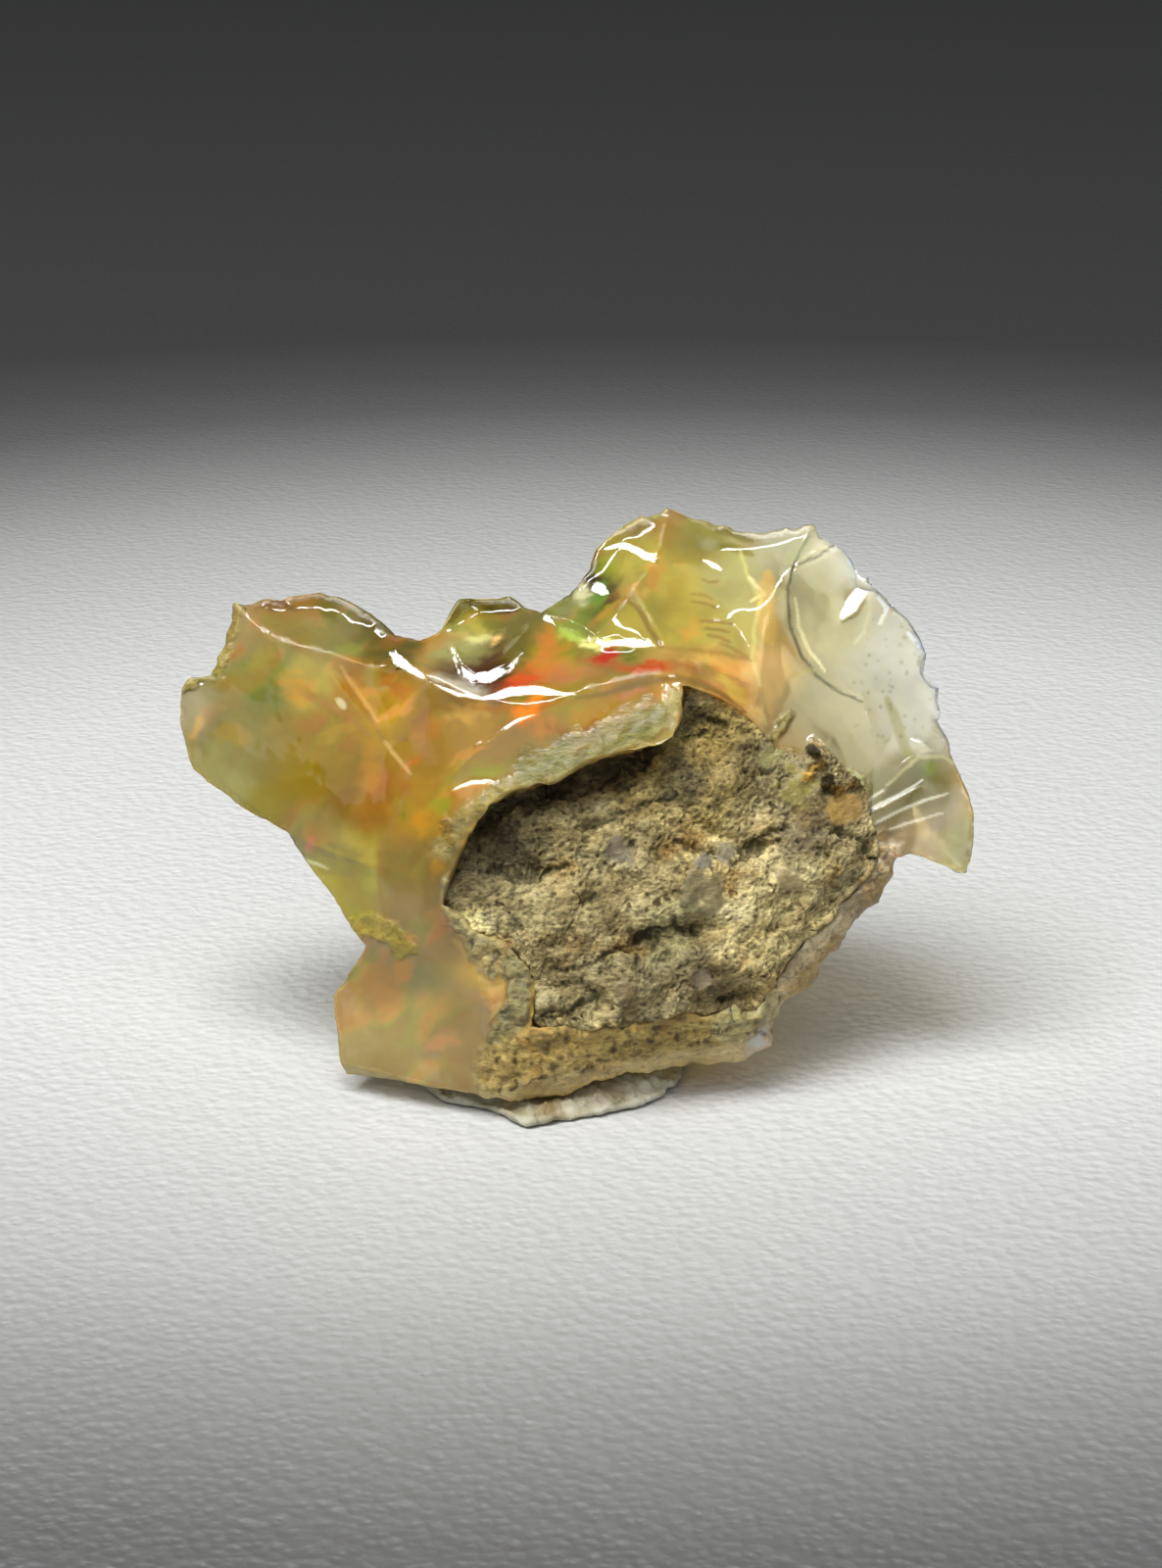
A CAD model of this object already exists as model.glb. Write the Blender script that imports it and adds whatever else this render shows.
import math

import bmesh
import bpy
import numpy as np
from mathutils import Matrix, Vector
from mathutils.bvhtree import BVHTree
from mathutils.kdtree import KDTree


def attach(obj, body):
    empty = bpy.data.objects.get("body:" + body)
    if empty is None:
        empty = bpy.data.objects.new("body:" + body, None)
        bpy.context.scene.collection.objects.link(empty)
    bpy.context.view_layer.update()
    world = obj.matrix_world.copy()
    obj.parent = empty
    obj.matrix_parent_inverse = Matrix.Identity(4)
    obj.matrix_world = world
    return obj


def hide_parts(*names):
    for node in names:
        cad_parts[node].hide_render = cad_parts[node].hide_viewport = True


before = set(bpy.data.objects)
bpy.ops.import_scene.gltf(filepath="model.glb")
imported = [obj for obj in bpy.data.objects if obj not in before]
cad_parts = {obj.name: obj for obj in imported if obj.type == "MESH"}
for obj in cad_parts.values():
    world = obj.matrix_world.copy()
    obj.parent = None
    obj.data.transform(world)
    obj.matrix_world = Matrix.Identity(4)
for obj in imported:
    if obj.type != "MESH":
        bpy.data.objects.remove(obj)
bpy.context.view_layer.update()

mm = 0.001
black = (0.0, 0.0, 0.0)
white = (1.0, 1.0, 1.0)


# camera and studio

cameraSet = {
    "spot": (0.00017, -0.13262, 0.05337),
    "tilt": 18.0,  # degrees down
    "lens": 85.0,
    "sensor": 36.0,  # mm, for the picture's height
    "clip": 0.005,
    "middle": 0.1394,  # m ahead of the camera, the stone's middle plane
    "frame": (1186, 1600),  # pixels of the picture that places below are read in
}

studio = {
    "floorSize": 1.6,
    "poolCentre": (0.006, 0.02),  # the pale sheet is lit in one round pool, and the room round it is dark
    "poolFade": (
        (0.0, 0.93), (0.3, 0.91), (0.42, 0.77), (0.55, 0.58), (0.65, 0.37),
        (0.72, 0.25), (0.79, 0.15), (0.88, 0.095), (1.0, 0.055),
    ),
    "poolReach": 0.12,
    "poolFront": 1.6,  # how much quicker it fades towards the camera
    "sheetTints": ((0.67, 0.68, 0.67), (0.74, 0.75, 0.74)),
    "sheetDimples": 2300,  # waves per metre
    "sheetGrain": 1500,
    "sheetRelief": 0.00022,
    "sheetRoughness": 0.42,
    "keyColour": (1, 0.99, 0.97),
    "keyPower": 2.05,
    "keySize": (0.28, 0.2),
    "keySpot": (-0.1, -0.12, 0.37),
    "fillColour": (0.97, 0.98, 1),
    "fillPower": 1.1,
    "fillSize": (0.7, 0.5),
    "fillSpot": (-0.05, -0.32, 0.3),
    "glintColour": (1, 1, 1),
    "glintPower": 2.8,
    "glintSize": (0.32, 0.1),  # a long lamp overhead, a little behind the stone: the white ledges mirror it
    "glintSpot": (-0.08, 0.09, 0.38),
    "roomColour": (0.96, 0.98, 1),
    "roomLight": 0.105,
}


def makeCamera():
    camera = bpy.data.objects.new("camera", bpy.data.cameras.new("camera"))
    bpy.context.scene.collection.objects.link(camera)
    camera.location = cameraSet["spot"]
    camera.rotation_euler = (math.radians(90 - cameraSet["tilt"]), 0, 0)
    camera.data.sensor_fit = "VERTICAL"
    camera.data.sensor_height = cameraSet["sensor"]
    camera.data.lens = cameraSet["lens"]
    camera.data.clip_start = cameraSet["clip"]
    bpy.context.scene.camera = camera


def seenAt(points):  # picture pixels of points, and how far behind the stone's middle plane they are
    tilt = math.radians(cameraSet["tilt"])
    away = np.asarray(points) - cameraSet["spot"]
    depth = away @ (0, math.cos(tilt), -math.sin(tilt))
    width, height = cameraSet["frame"]
    scale = height * cameraSet["lens"] / cameraSet["sensor"] / depth
    u = width / 2 + away[:, 0] * scale
    v = height / 2 - away @ (0, math.sin(tilt), math.cos(tilt)) * scale
    return u, v, depth - cameraSet["middle"]


def viewLine():  # unit line from the stone to the camera
    return np.array(cameraSet["spot"]) / np.linalg.norm(cameraSet["spot"])


def areaLight(which):  # faces the stone, its long side across the picture
    name = which + "Light"
    lamp = bpy.data.objects.new(name, bpy.data.lights.new(name, "AREA"))
    bpy.context.scene.collection.objects.link(lamp)
    spot = studio[which + "Spot"]
    lamp.location = spot
    lean = math.atan2(spot[1], math.hypot(spot[0], spot[2]))
    lamp.rotation_euler = (-lean, math.atan2(spot[0], spot[2]), 0)
    lamp.data.shape = "RECTANGLE"
    lamp.data.size, lamp.data.size_y = studio[which + "Size"]
    lamp.data.energy = studio[which + "Power"]
    lamp.data.color = studio[which + "Colour"]
    return lamp


def makeStudio():
    half = studio["floorSize"] / 2
    mesh = bpy.data.meshes.new("floor")
    corners = [(-half, -half, 0), (half, -half, 0), (half, half, 0), (-half, half, 0)]
    mesh.from_pydata(corners, [], [(0, 1, 2, 3)])
    floor = bpy.data.objects.new("floor", mesh)
    bpy.context.scene.collection.objects.link(floor)
    mesh.materials.append(floorFinish())
    areaLight("key").visible_glossy = False  # as through a polariser
    areaLight("fill")
    areaLight("glint").visible_diffuse = False
    world = bpy.data.worlds.new("room")
    bpy.context.scene.world = world
    world.use_nodes = True
    room = world.node_tree.nodes["Background"].inputs
    room["Color"].default_value = (*studio["roomColour"], 1)
    room["Strength"].default_value = studio["roomLight"]
    bpy.context.scene.view_settings.view_transform = "Standard"


# shader helpers

def newMaterial(name):
    material = bpy.data.materials.new(name)
    material.use_nodes = True
    tree = material.node_tree
    return material, tree, tree.nodes["Principled BSDF"]


def addNode(tree, kind, **values):  # a node with its settings and plain input values, by name
    node = tree.nodes.new(kind)
    for key, value in values.items():
        if hasattr(node, key):
            setattr(node, key, value)
        else:
            node.inputs[key].default_value = value
    return node


def joinUp(tree, output, target):
    tree.links.new(output, target)


def objectPlace(tree):
    return tree.nodes.new("ShaderNodeTexCoord").outputs["Object"]


def noiseAt(tree, place, scale, detail=3.0, roughness=0.55):
    node = addNode(tree, "ShaderNodeTexNoise", Scale=scale, Detail=detail, Roughness=roughness)
    joinUp(tree, place, node.inputs["Vector"])
    return node.outputs["Fac"]


def ramp(tree, value, *stops):  # stops are (position, grey or colour)
    node = tree.nodes.new("ShaderNodeValToRGB")
    band = node.color_ramp.elements
    while len(band) < len(stops):
        band.new(0.5)
    for element, (position, colour) in zip(band, stops):
        element.position = position
        element.color = (*colour, 1) if isinstance(colour, tuple) else (colour, colour, colour, 1)
    joinUp(tree, value, node.inputs["Fac"])
    return node.outputs["Color"]


def mixColours(tree, factor, first, second, blend="MIX"):
    node = tree.nodes.new("ShaderNodeMix")
    node.data_type = "RGBA"
    node.blend_type = blend
    for slot, value in ((0, factor), (6, first), (7, second)):  # the node's sockets for colours
        if isinstance(value, bpy.types.NodeSocket):
            joinUp(tree, value, node.inputs[slot])
        elif isinstance(value, tuple):
            node.inputs[slot].default_value = (*value, 1)
        else:
            node.inputs[slot].default_value = value
    return node.outputs[2]


def multiplied(tree, first, second):
    return mixColours(tree, 1.0, first, second, "MULTIPLY")


def maths(tree, operation, first, second=None, third=None):
    node = tree.nodes.new("ShaderNodeMath")
    node.operation = operation
    for slot, value in enumerate((first, second, third)):
        if isinstance(value, bpy.types.NodeSocket):
            joinUp(tree, value, node.inputs[slot])
        elif value is not None:
            node.inputs[slot].default_value = value
    return node.outputs[0]


def painted(tree, name, output="Fac"):  # one of the piece's own layers
    node = tree.nodes.new("ShaderNodeAttribute")
    node.attribute_name = name
    return node.outputs[output]


def bumped(tree, height, strength, distance, shader):
    node = addNode(tree, "ShaderNodeBump", Strength=strength, Distance=distance)
    joinUp(tree, height, node.inputs["Height"])
    joinUp(tree, node.outputs["Normal"], shader.inputs["Normal"])


# shades of the stones and the putty at full brightness, in screen levels
shades = {
    "garnet": (255, 70, 40),
    "ember": (255, 95, 30),
    "flame": (255, 135, 30),
    "rose": (255, 155, 135),
    "salmon": (255, 165, 105),
    "rust": (255, 160, 65),
    "copper": (255, 180, 90),
    "peach": (255, 192, 130),
    "amber": (255, 178, 35),
    "gold": (255, 198, 60),
    "honey": (255, 205, 105),
    "brass": (255, 208, 25),
    "toffee": (255, 209, 135),
    "mead": (255, 219, 107),
    "straw": (255, 220, 148),
    "wheat": (255, 231, 154),
    "sand": (255, 232, 186),
    "cream": (255, 238, 208),
    "olive": (255, 238, 50),
    "reed": (255, 236, 104),
    "flax": (255, 240, 132),
    "stone": (255, 241, 192),
    "sage": (255, 248, 160),
    "bone": (255, 250, 198),
    "chalk": (255, 247, 222),
    "milk": (255, 255, 234),
    "moss": (235, 255, 60),
    "leaf": (232, 255, 110),
    "mint": (245, 255, 190),
    "teal": (190, 255, 90),
    "fern": (215, 255, 165),
    "slate": (255, 238, 240),
    "sky": (200, 232, 255),
}


def shade(name, brightness):  # a shade as linear colour
    return srgb(*(level * brightness for level in shades[name]))


def srgb(*levels):  # screen levels up to 255 as linear colour
    shares = [level / 255 for level in levels]
    return tuple(x / 12.92 if x < 11 / 255 else ((x + 0.055) / 1.055) ** 2.4 for x in shares)


def floorFinish():
    material, tree, shader = newMaterial("paleSheet")
    place = objectPlace(tree)
    parts = tree.nodes.new("ShaderNodeSeparateXYZ")
    joinUp(tree, place, parts.inputs[0])
    across = maths(tree, "SUBTRACT", parts.outputs["X"], studio["poolCentre"][0])
    back = maths(tree, "SUBTRACT", parts.outputs["Y"], studio["poolCentre"][1])
    back = maths(tree, "MAXIMUM", back, maths(tree, "MULTIPLY", back, -studio["poolFront"]))
    squares = maths(tree, "ADD", maths(tree, "MULTIPLY", across, across), maths(tree, "MULTIPLY", back, back))
    away = maths(tree, "DIVIDE", maths(tree, "SQRT", squares), studio["poolReach"])
    pool = ramp(tree, away, *studio["poolFade"])
    dimple = addNode(tree, "ShaderNodeTexVoronoi", feature="SMOOTH_F1", Scale=studio["sheetDimples"])
    dimple.inputs["Smoothness"].default_value = 0.5
    joinUp(tree, place, dimple.inputs["Vector"])
    grain = noiseAt(tree, place, studio["sheetGrain"], 2)
    pale = mixColours(tree, grain, *studio["sheetTints"])
    joinUp(tree, multiplied(tree, pale, pool), shader.inputs["Base Color"])
    shader.inputs["Roughness"].default_value = studio["sheetRoughness"]
    shader.inputs["Specular IOR Level"].default_value = 0.35
    height = maths(tree, "ADD", dimple.outputs["Distance"], grain)
    bumped(tree, height, 0.32, studio["sheetRelief"], shader)
    return material


# mesh tools: arrays of points and triangles

def mergedCopy(nodeName, reach=2e-6):  # a CAD node's loose triangles, merged into one closed skin
    bm = bmesh.new()
    bm.from_mesh(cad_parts[nodeName].data)
    bmesh.ops.remove_doubles(bm, verts=bm.verts, dist=reach)
    bmesh.ops.triangulate(bm, faces=bm.faces)
    bm.verts.index_update()
    points = np.array([vertex.co for vertex in bm.verts], float)
    faces = np.array([[vertex.index for vertex in face.verts] for face in bm.faces])
    bm.free()
    return points, faces


def edgesOf(faces):  # unique edges, and each face's three
    sides = np.sort(np.concatenate([faces[:, [0, 1]], faces[:, [1, 2]], faces[:, [2, 0]]]), axis=1)
    edges, place = np.unique(sides, axis=0, return_inverse=True)
    return edges, place.reshape(3, -1).T


def faceNormals(points, faces):
    corners = points[faces]
    normals = np.cross(corners[:, 1] - corners[:, 0], corners[:, 2] - corners[:, 0])
    return normals / np.maximum(np.linalg.norm(normals, axis=1), 1e-18)[:, None]


def pointNormals(points, faces):
    corners = points[faces]
    weighted = np.cross(corners[:, 1] - corners[:, 0], corners[:, 2] - corners[:, 0])
    total = np.zeros_like(points)
    for corner in range(3):
        np.add.at(total, faces[:, corner], weighted)
    return total / np.maximum(np.linalg.norm(total, axis=1), 1e-18)[:, None]


def foldAngles(points, faces, edges, sides):  # degrees that the skin turns over each edge
    total = np.zeros((len(edges), 3))
    np.add.at(total, sides.ravel(), np.repeat(faceNormals(points, faces), 3, axis=0))
    return 2 * np.degrees(np.arccos(np.clip(np.linalg.norm(total, axis=1) / 2, 0, 1)))


def longerThan(limit, points, edges):  # which edges are longer than so many mm
    return np.linalg.norm(points[edges[:, 0]] - points[edges[:, 1]], axis=1) > limit * mm


def splitSkin(points, faces, ridges, chosen=None):
    # halves the chosen edges (all if none are named) and returns the ridges' halves too
    edges, sides = edgesOf(faces)
    chosen = np.ones(len(edges), bool) if chosen is None else chosen(points, edges)
    number = np.full(len(edges), -1)
    number[chosen] = len(points) + np.arange(chosen.sum())
    more = np.vstack([points, points[edges[chosen]].mean(axis=1)])
    middles = number[sides]
    count = (middles >= 0).sum(axis=1)
    made = [faces[count == 0]]
    a, b, c = faces.T
    x, y, z = middles.T
    for three in ((a, x, z), (x, b, y), (z, y, c), (x, y, z)):
        made.append(np.stack(three, axis=1)[count == 3])
    for _ in range(3):
        for three in ((a, x, c), (x, b, c)):
            made.append(np.stack(three, axis=1)[(count == 1) & (x >= 0)])
        for three in ((x, b, y), (a, x, y), (a, y, c)):
            made.append(np.stack(three, axis=1)[(count == 2) & (x >= 0) & (y >= 0)])
        a, b, c = b, c, a
        x, y, z = y, z, x
    isRidge = marked(edges, ridges, len(points))
    halved = isRidge & chosen
    first = np.stack([edges[halved, 0], number[halved]], axis=1)
    second = np.stack([edges[halved, 1], number[halved]], axis=1)
    return more, np.vstack(made), np.vstack([edges[isRidge & ~chosen], first, second])


def marked(edges, ridges, count):  # which edges are among the ridges
    return np.isin(edges[:, 0] * count + edges[:, 1], ridges[:, 0] * count + ridges[:, 1])


def neighbourMean(points, edges):
    total = np.zeros_like(points)
    np.add.at(total, edges[:, 0], points[edges[:, 1]])
    np.add.at(total, edges[:, 1], points[edges[:, 0]])
    count = np.bincount(edges.ravel(), minlength=len(points))
    return total / np.maximum(count, 1)[:, None]


def softened(values, edges, rounds):  # draws each point's value halfway to its neighbours' mean
    values = values[:, None]
    for _ in range(rounds):
        values = 0.5 * values + 0.5 * neighbourMean(values, edges)
    return values[:, 0]


def bendOf(points, edges, normals, rounds):  # mm that the skin stands out from its neighbours, softened
    return softened(np.einsum("ij,ij->i", points - neighbourMean(points, edges), normals) / mm, edges, rounds)


def relaxed(points, faces, ridges, rounds, flatGive=0.5, ridgeGive=0.25):
    # smooths the faces and, along their own line, the ridges, and leaves corners where they are
    edges = edgesOf(faces)[0]
    meeting = np.bincount(ridges.ravel(), minlength=len(points))
    give = np.where(meeting == 0, flatGive, np.where(meeting == 2, ridgeGive, 0))[:, None]
    for _ in range(rounds):
        flat = neighbourMean(points, edges)
        target = np.where((meeting == 0)[:, None], flat, neighbourMean(points, ridges))
        points = points + give * (target - points)
    return points


def asMesh(name, points, faces, material, layers, node):
    mesh = bpy.data.meshes.new(name)
    mesh.vertices.add(len(points))
    mesh.vertices.foreach_set("co", np.asarray(points, np.float32).ravel())
    mesh.loops.add(len(faces) * 3)
    mesh.loops.foreach_set("vertex_index", np.asarray(faces, np.int32).ravel())
    mesh.polygons.add(len(faces))
    mesh.polygons.foreach_set("loop_start", np.arange(len(faces), dtype=np.int32) * 3)
    mesh.update(calc_edges=True)
    mesh.validate()
    mesh.shade_smooth()
    for layer, values in layers.items():
        if np.ndim(values) == 2:
            colours = np.ones((len(points), 4), np.float32)
            colours[:, :3] = values
            made = mesh.attributes.new(layer, "FLOAT_COLOR", "POINT")
            made.data.foreach_set("color", colours.ravel())
        else:
            made = mesh.attributes.new(layer, "FLOAT", "POINT")
            made.data.foreach_set("value", np.asarray(values, np.float32))
    mesh.materials.append(material)
    piece = bpy.data.objects.new(name, mesh)
    bpy.context.scene.collection.objects.link(piece)
    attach(piece, "root")
    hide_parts(node)


# smooth noise
noiseGain = 1.7  # brings it to about -1 to 1
seedShift = 17.37

gradients = np.random.default_rng(7).normal(size=(1024, 3))
gradients /= np.linalg.norm(gradients, axis=1)[:, None]


def noiseOf(points, scale, seed=0):  # smooth noise from about -1 to 1, scale in waves per millimetre
    spots = points * (scale / mm) + seed * seedShift
    cell = np.floor(spots).astype(np.int64)
    part = spots - cell
    ease = part**3 * (part * (part * 6 - 15) + 10)
    total = np.zeros(len(points))
    for corner in np.ndindex(2, 2, 2):
        x, y, z = (cell + corner).T
        lattice = (x * 73856093 ^ y * 19349663 ^ z * 83492791 ^ seed * 2654435) % len(gradients)
        weight = np.prod(np.where(corner, ease, 1 - ease), axis=1)
        total += weight * np.einsum("ij,ij->i", gradients[lattice], part - corner)
    return total * noiseGain


def cloudOf(points, scale, octaves, seed):  # noise with finer and weaker waves added
    return sum(noiseOf(points, scale * 2**n, seed + 50 * n) / 2**n for n in range(octaves))


def wanderOf(points, scale, octaves, seeds):  # three clouds as one direction
    return np.stack([cloudOf(points, scale, octaves, seed) for seed in seeds], axis=1)


def drifted(points, u, v, reach, scale, octaves, seeds):  # picture places moved by clouds
    across, upright = (reach * cloudOf(points, scale, octaves, seed) for seed in seeds)
    return u + across, v + upright


def streaked(points, lean, scale, stretch, seed):  # noise drawn out along a line that leans up to the right
    turn = math.radians(lean)
    along = points @ (math.cos(turn), 0, math.sin(turn)) / stretch
    across = points @ (-math.sin(turn), 0, math.cos(turn))
    return cloudOf(np.stack([along, points[:, 1] / 1.5, across], axis=1), scale, 2, seed)


def easeBetween(values, low, high):
    share = np.clip((values - low) / (high - low), 0, 1)
    return share * share * (3 - 2 * share)


def patchAt(u, v, spot, size, lean=0):
    # a soft round-ended patch on the picture: 1 in its middle, near 0 past its size
    turn = math.radians(lean)
    across = (u - spot[0]) * math.cos(turn) - (v - spot[1]) * math.sin(turn)
    upward = (u - spot[0]) * math.sin(turn) + (v - spot[1]) * math.cos(turn)
    return np.exp(-((across / size[0]) ** 2) - (upward / size[1]) ** 2)


def laidOver(colours, share, tint):  # a tint, or one for each point, laid over the colours by a share
    return colours * (1 - share)[:, None] + share[:, None] * np.asarray(tint)


def washedWith(washes, u, v, base, thin, behind=None):
    # soft blend of body colours by their places, with the base tint where none reaches
    total = np.full(len(u), thin)
    wash = np.outer(total, srgb(*base))
    for spot, reach, colour in washes.values():
        away = ((u - spot[0]) ** 2 + (v - spot[1]) ** 2) / reach**2
        if behind is not None:
            away = away + (behind(spot) / opal["washDepth"]) ** 2
        weight = np.exp(-away)
        total += weight
        wash += np.outer(weight, shade(*colour))
    return wash / total[:, None]


# opal

opal = {
    "creaseAngle": 13,
    "fineEdge": 0.105,  # mm, longest edge on the side that the picture shows
    "swell": 0.05,  # mm, slow waves of the breaks
    "nick": 0.08,  # mm, small chips along the sharp edges
    "wander": 0.045,  # mm, sideways wander of every edge
    "ragged": 0.13,  # mm, sideways wander of the broken rims
    "ledgeEdge": 0.06,  # mm, longest edge along the ledges
    "turnAway": 8.0,  # degrees that other skin keeps from mirroring the lamp
    "holdLedge": 1e-5,  # how firmly a ledge keeps its height, and then the other skin
    "holdSkin": 0.006,
    "calmPull": 0.12,  # pull of skin that needs no turn, where a ledge's is 1
    "browRounds": 22,  # smoothing under the long ledge over the lip
    "ledgeRounds": 3,
    "solveSteps": 250,
    "washDepth": 5.0,  # mm behind its place that a body colour still reaches, and a flash
    "flashDepth": 2.5,
    "baseTint": (172, 146, 80),
    "shimmer": 0.2,  # strength of the small drifting colours all over
    "shimmerTints": (
        (214, 112, 52), (226, 150, 66), (196, 160, 70), (150, 150, 56), (112, 146, 56), (130, 100, 48),
    ),
    "speckSeed": 5,
    "discSpecks": 60,
    "discSpeckArea": ((868, 625), (950, 760)),
    "discSpeckSize": (1.8, 3.4),  # pixels
    "discSpeckTint": (104, 104, 70),
    "southSpecks": 90,
    "southSpeckLine": ((505, 1098), (285, -60)),  # from here, and so far across and down
    "southSpeckSize": (1.5, 4.0),
    "southSpeckTint": (70, 54, 24),
    "clearStone": 0.12,  # shares of clear stone: all over, more in the plate, dome and thin edges
    "clearPlate": 0.75,
    "clearDome": 0.3,
    "clearThin": 0.2,
    "clearFlash": 0.3,  # less of it where colour plays
    "clearLeast": 0.02,
    "clearMost": 0.48,
    "sunk": 0.03,  # mm, depth of the sunk strokes
    "rindLump": 0.13,  # mm, relief of a full rind, and its fine streaks
    "rindStreak": 0.06,
    "edgeDull": 0.6,  # how dull worn edges are, next to 1 on a rind
    "bodyGain": 1.3,
    "ior": 1.44,
    "gloss": 0.05,  # roughness of the bare milky stone, and what a full rind adds
    "rindGloss": 0.7,
    "glassGloss": 0.02,  # the same for the clear stone
    "glassRindGloss": 0.5,
    "glassTint": 0.35,  # share of the body's colour in the clear stone
    "rindRelief": 0.00016,
    "cloudScale": 420,  # waves per metre
    "bodyTint": (0.975, 0.89, 0.55),
    "tintDensity": 200.0,  # per metre
    "scatterDepth": 0.0004,
    "scatterReach": (1.0, 0.75, 0.4),
    "glow": 0.14,
    "lampPass": 0.9,  # share of the lamps' light that goes through the clearest stone
    "lampTint": (1, 0.93, 0.72),
}

# broad body colours: picture place, reach in pixels, shade and brightness
opalWashes = {
    "lobeTipEdge": ((196, 720), 20, ("stone", 0.67)),
    "lobeShoulder": ((215, 715), 24, ("reed", 0.43)),
    "lobeUpper": ((250, 655), 26, ("straw", 0.57)),
    "lobeGreen": ((262, 690), 30, ("leaf", 0.44)),
    "lobeMiddle": ((300, 775), 44, ("brass", 0.54)),
    "lobeLower": ((262, 775), 30, ("sage", 0.53)),
    "lobeUnderside": ((228, 800), 22, ("sage", 0.64)),
    "lobeFoot": ((268, 828), 20, ("reed", 0.57)),
    "band": ((300, 628), 30, ("honey", 0.53)),
    "bandMiddle": ((345, 642), 24, ("sage", 0.45)),
    "bandEnd": ((388, 655), 22, ("olive", 0.32)),
    "foldUpper": ((318, 690), 24, ("reed", 0.63)),
    "foldFace": ((368, 705), 24, ("amber", 0.59)),
    "foldGold": ((390, 730), 20, ("brass", 0.65)),
    "cheek": ((340, 770), 26, ("brass", 0.50)),
    "cheekLow": ((365, 815), 26, ("amber", 0.48)),
    "flankUpper": ((318, 850), 22, ("sage", 0.49)),
    "flank": ((345, 880), 26, ("reed", 0.67)),
    "flankLow": ((352, 920), 24, ("reed", 0.63)),
    "knob": ((480, 626), 24, ("olive", 0.44)),
    "knobFacet": ((475, 652), 16, ("sage", 0.59)),
    "knobSlope": ((532, 638), 20, ("reed", 0.39)),
    "belly": ((505, 690), 26, ("garnet", 0.21)),
    "heart": ((556, 688), 30, ("olive", 0.51)),
    "heartEast": ((620, 688), 22, ("honey", 0.50)),
    "slope": ((612, 608), 24, ("copper", 0.16)),
    "slopeLow": ((585, 628), 16, ("leaf", 0.50)),
    "slopeTop": ((640, 580), 20, ("reed", 0.58)),
    "paleFacet": ((632, 640), 18, ("reed", 0.63)),
    "facetTop": ((662, 630), 16, ("reed", 0.63)),
    "dome": ((690, 590), 26, ("reed", 0.74)),
    "domeLow": ((708, 632), 24, ("reed", 0.72)),
    "crownTop": ((700, 548), 24, ("flax", 0.55)),
    "crown": ((745, 595), 24, ("sage", 0.66)),
    "crownLow": ((745, 650), 22, ("flax", 0.66)),
    "tail": ((705, 680), 20, ("honey", 0.64)),
    "tailEnd": ((750, 700), 18, ("copper", 0.80)),
    "brownMass": ((430, 752), 24, ("gold", 0.53)),
    "underBrow": ((482, 735), 24, ("honey", 0.56)),
    "underHeart": ((540, 755), 24, ("honey", 0.54)),
    "underBrowEast": ((620, 725), 24, ("gold", 0.61)),
    "west": ((425, 830), 20, ("gold", 0.60)),
    "westLow": ((425, 885), 22, ("mead", 0.48)),
    "oval": ((428, 935), 26, ("straw", 0.54)),
    "footTop": ((392, 1000), 26, ("sage", 0.45)),
    "footLow": ((395, 1055), 34, ("wheat", 0.60)),
    "footFront": ((472, 1070), 26, ("straw", 0.56)),
    "heel": ((775, 1050), 24, ("sand", 0.77)),
    "eastEdge": ((860, 950), 30, ("milk", 0.56)),
    "amberSeam": ((782, 700), 20, ("straw", 0.89)),
    "bladeRoot": ((812, 760), 24, ("straw", 0.60)),
    "bladeTop": ((788, 562), 20, ("bone", 0.64)),
    "discUpper": ((838, 590), 20, ("bone", 0.75)),
    "discMiddle": ((850, 630), 24, ("bone", 0.74)),
    "plateLow": ((845, 735), 34, ("bone", 0.66)),
    "plateEdge": ((930, 700), 40, ("milk", 0.73)),
    "plateTop": ((865, 575), 20, ("milk", 0.84)),
    "finGrey": ((925, 812), 22, ("sage", 0.48)),
    "finLow": ((935, 850), 22, ("sand", 0.60)),
    "finTip": ((978, 868), 16, ("sage", 0.57)),
}

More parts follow.
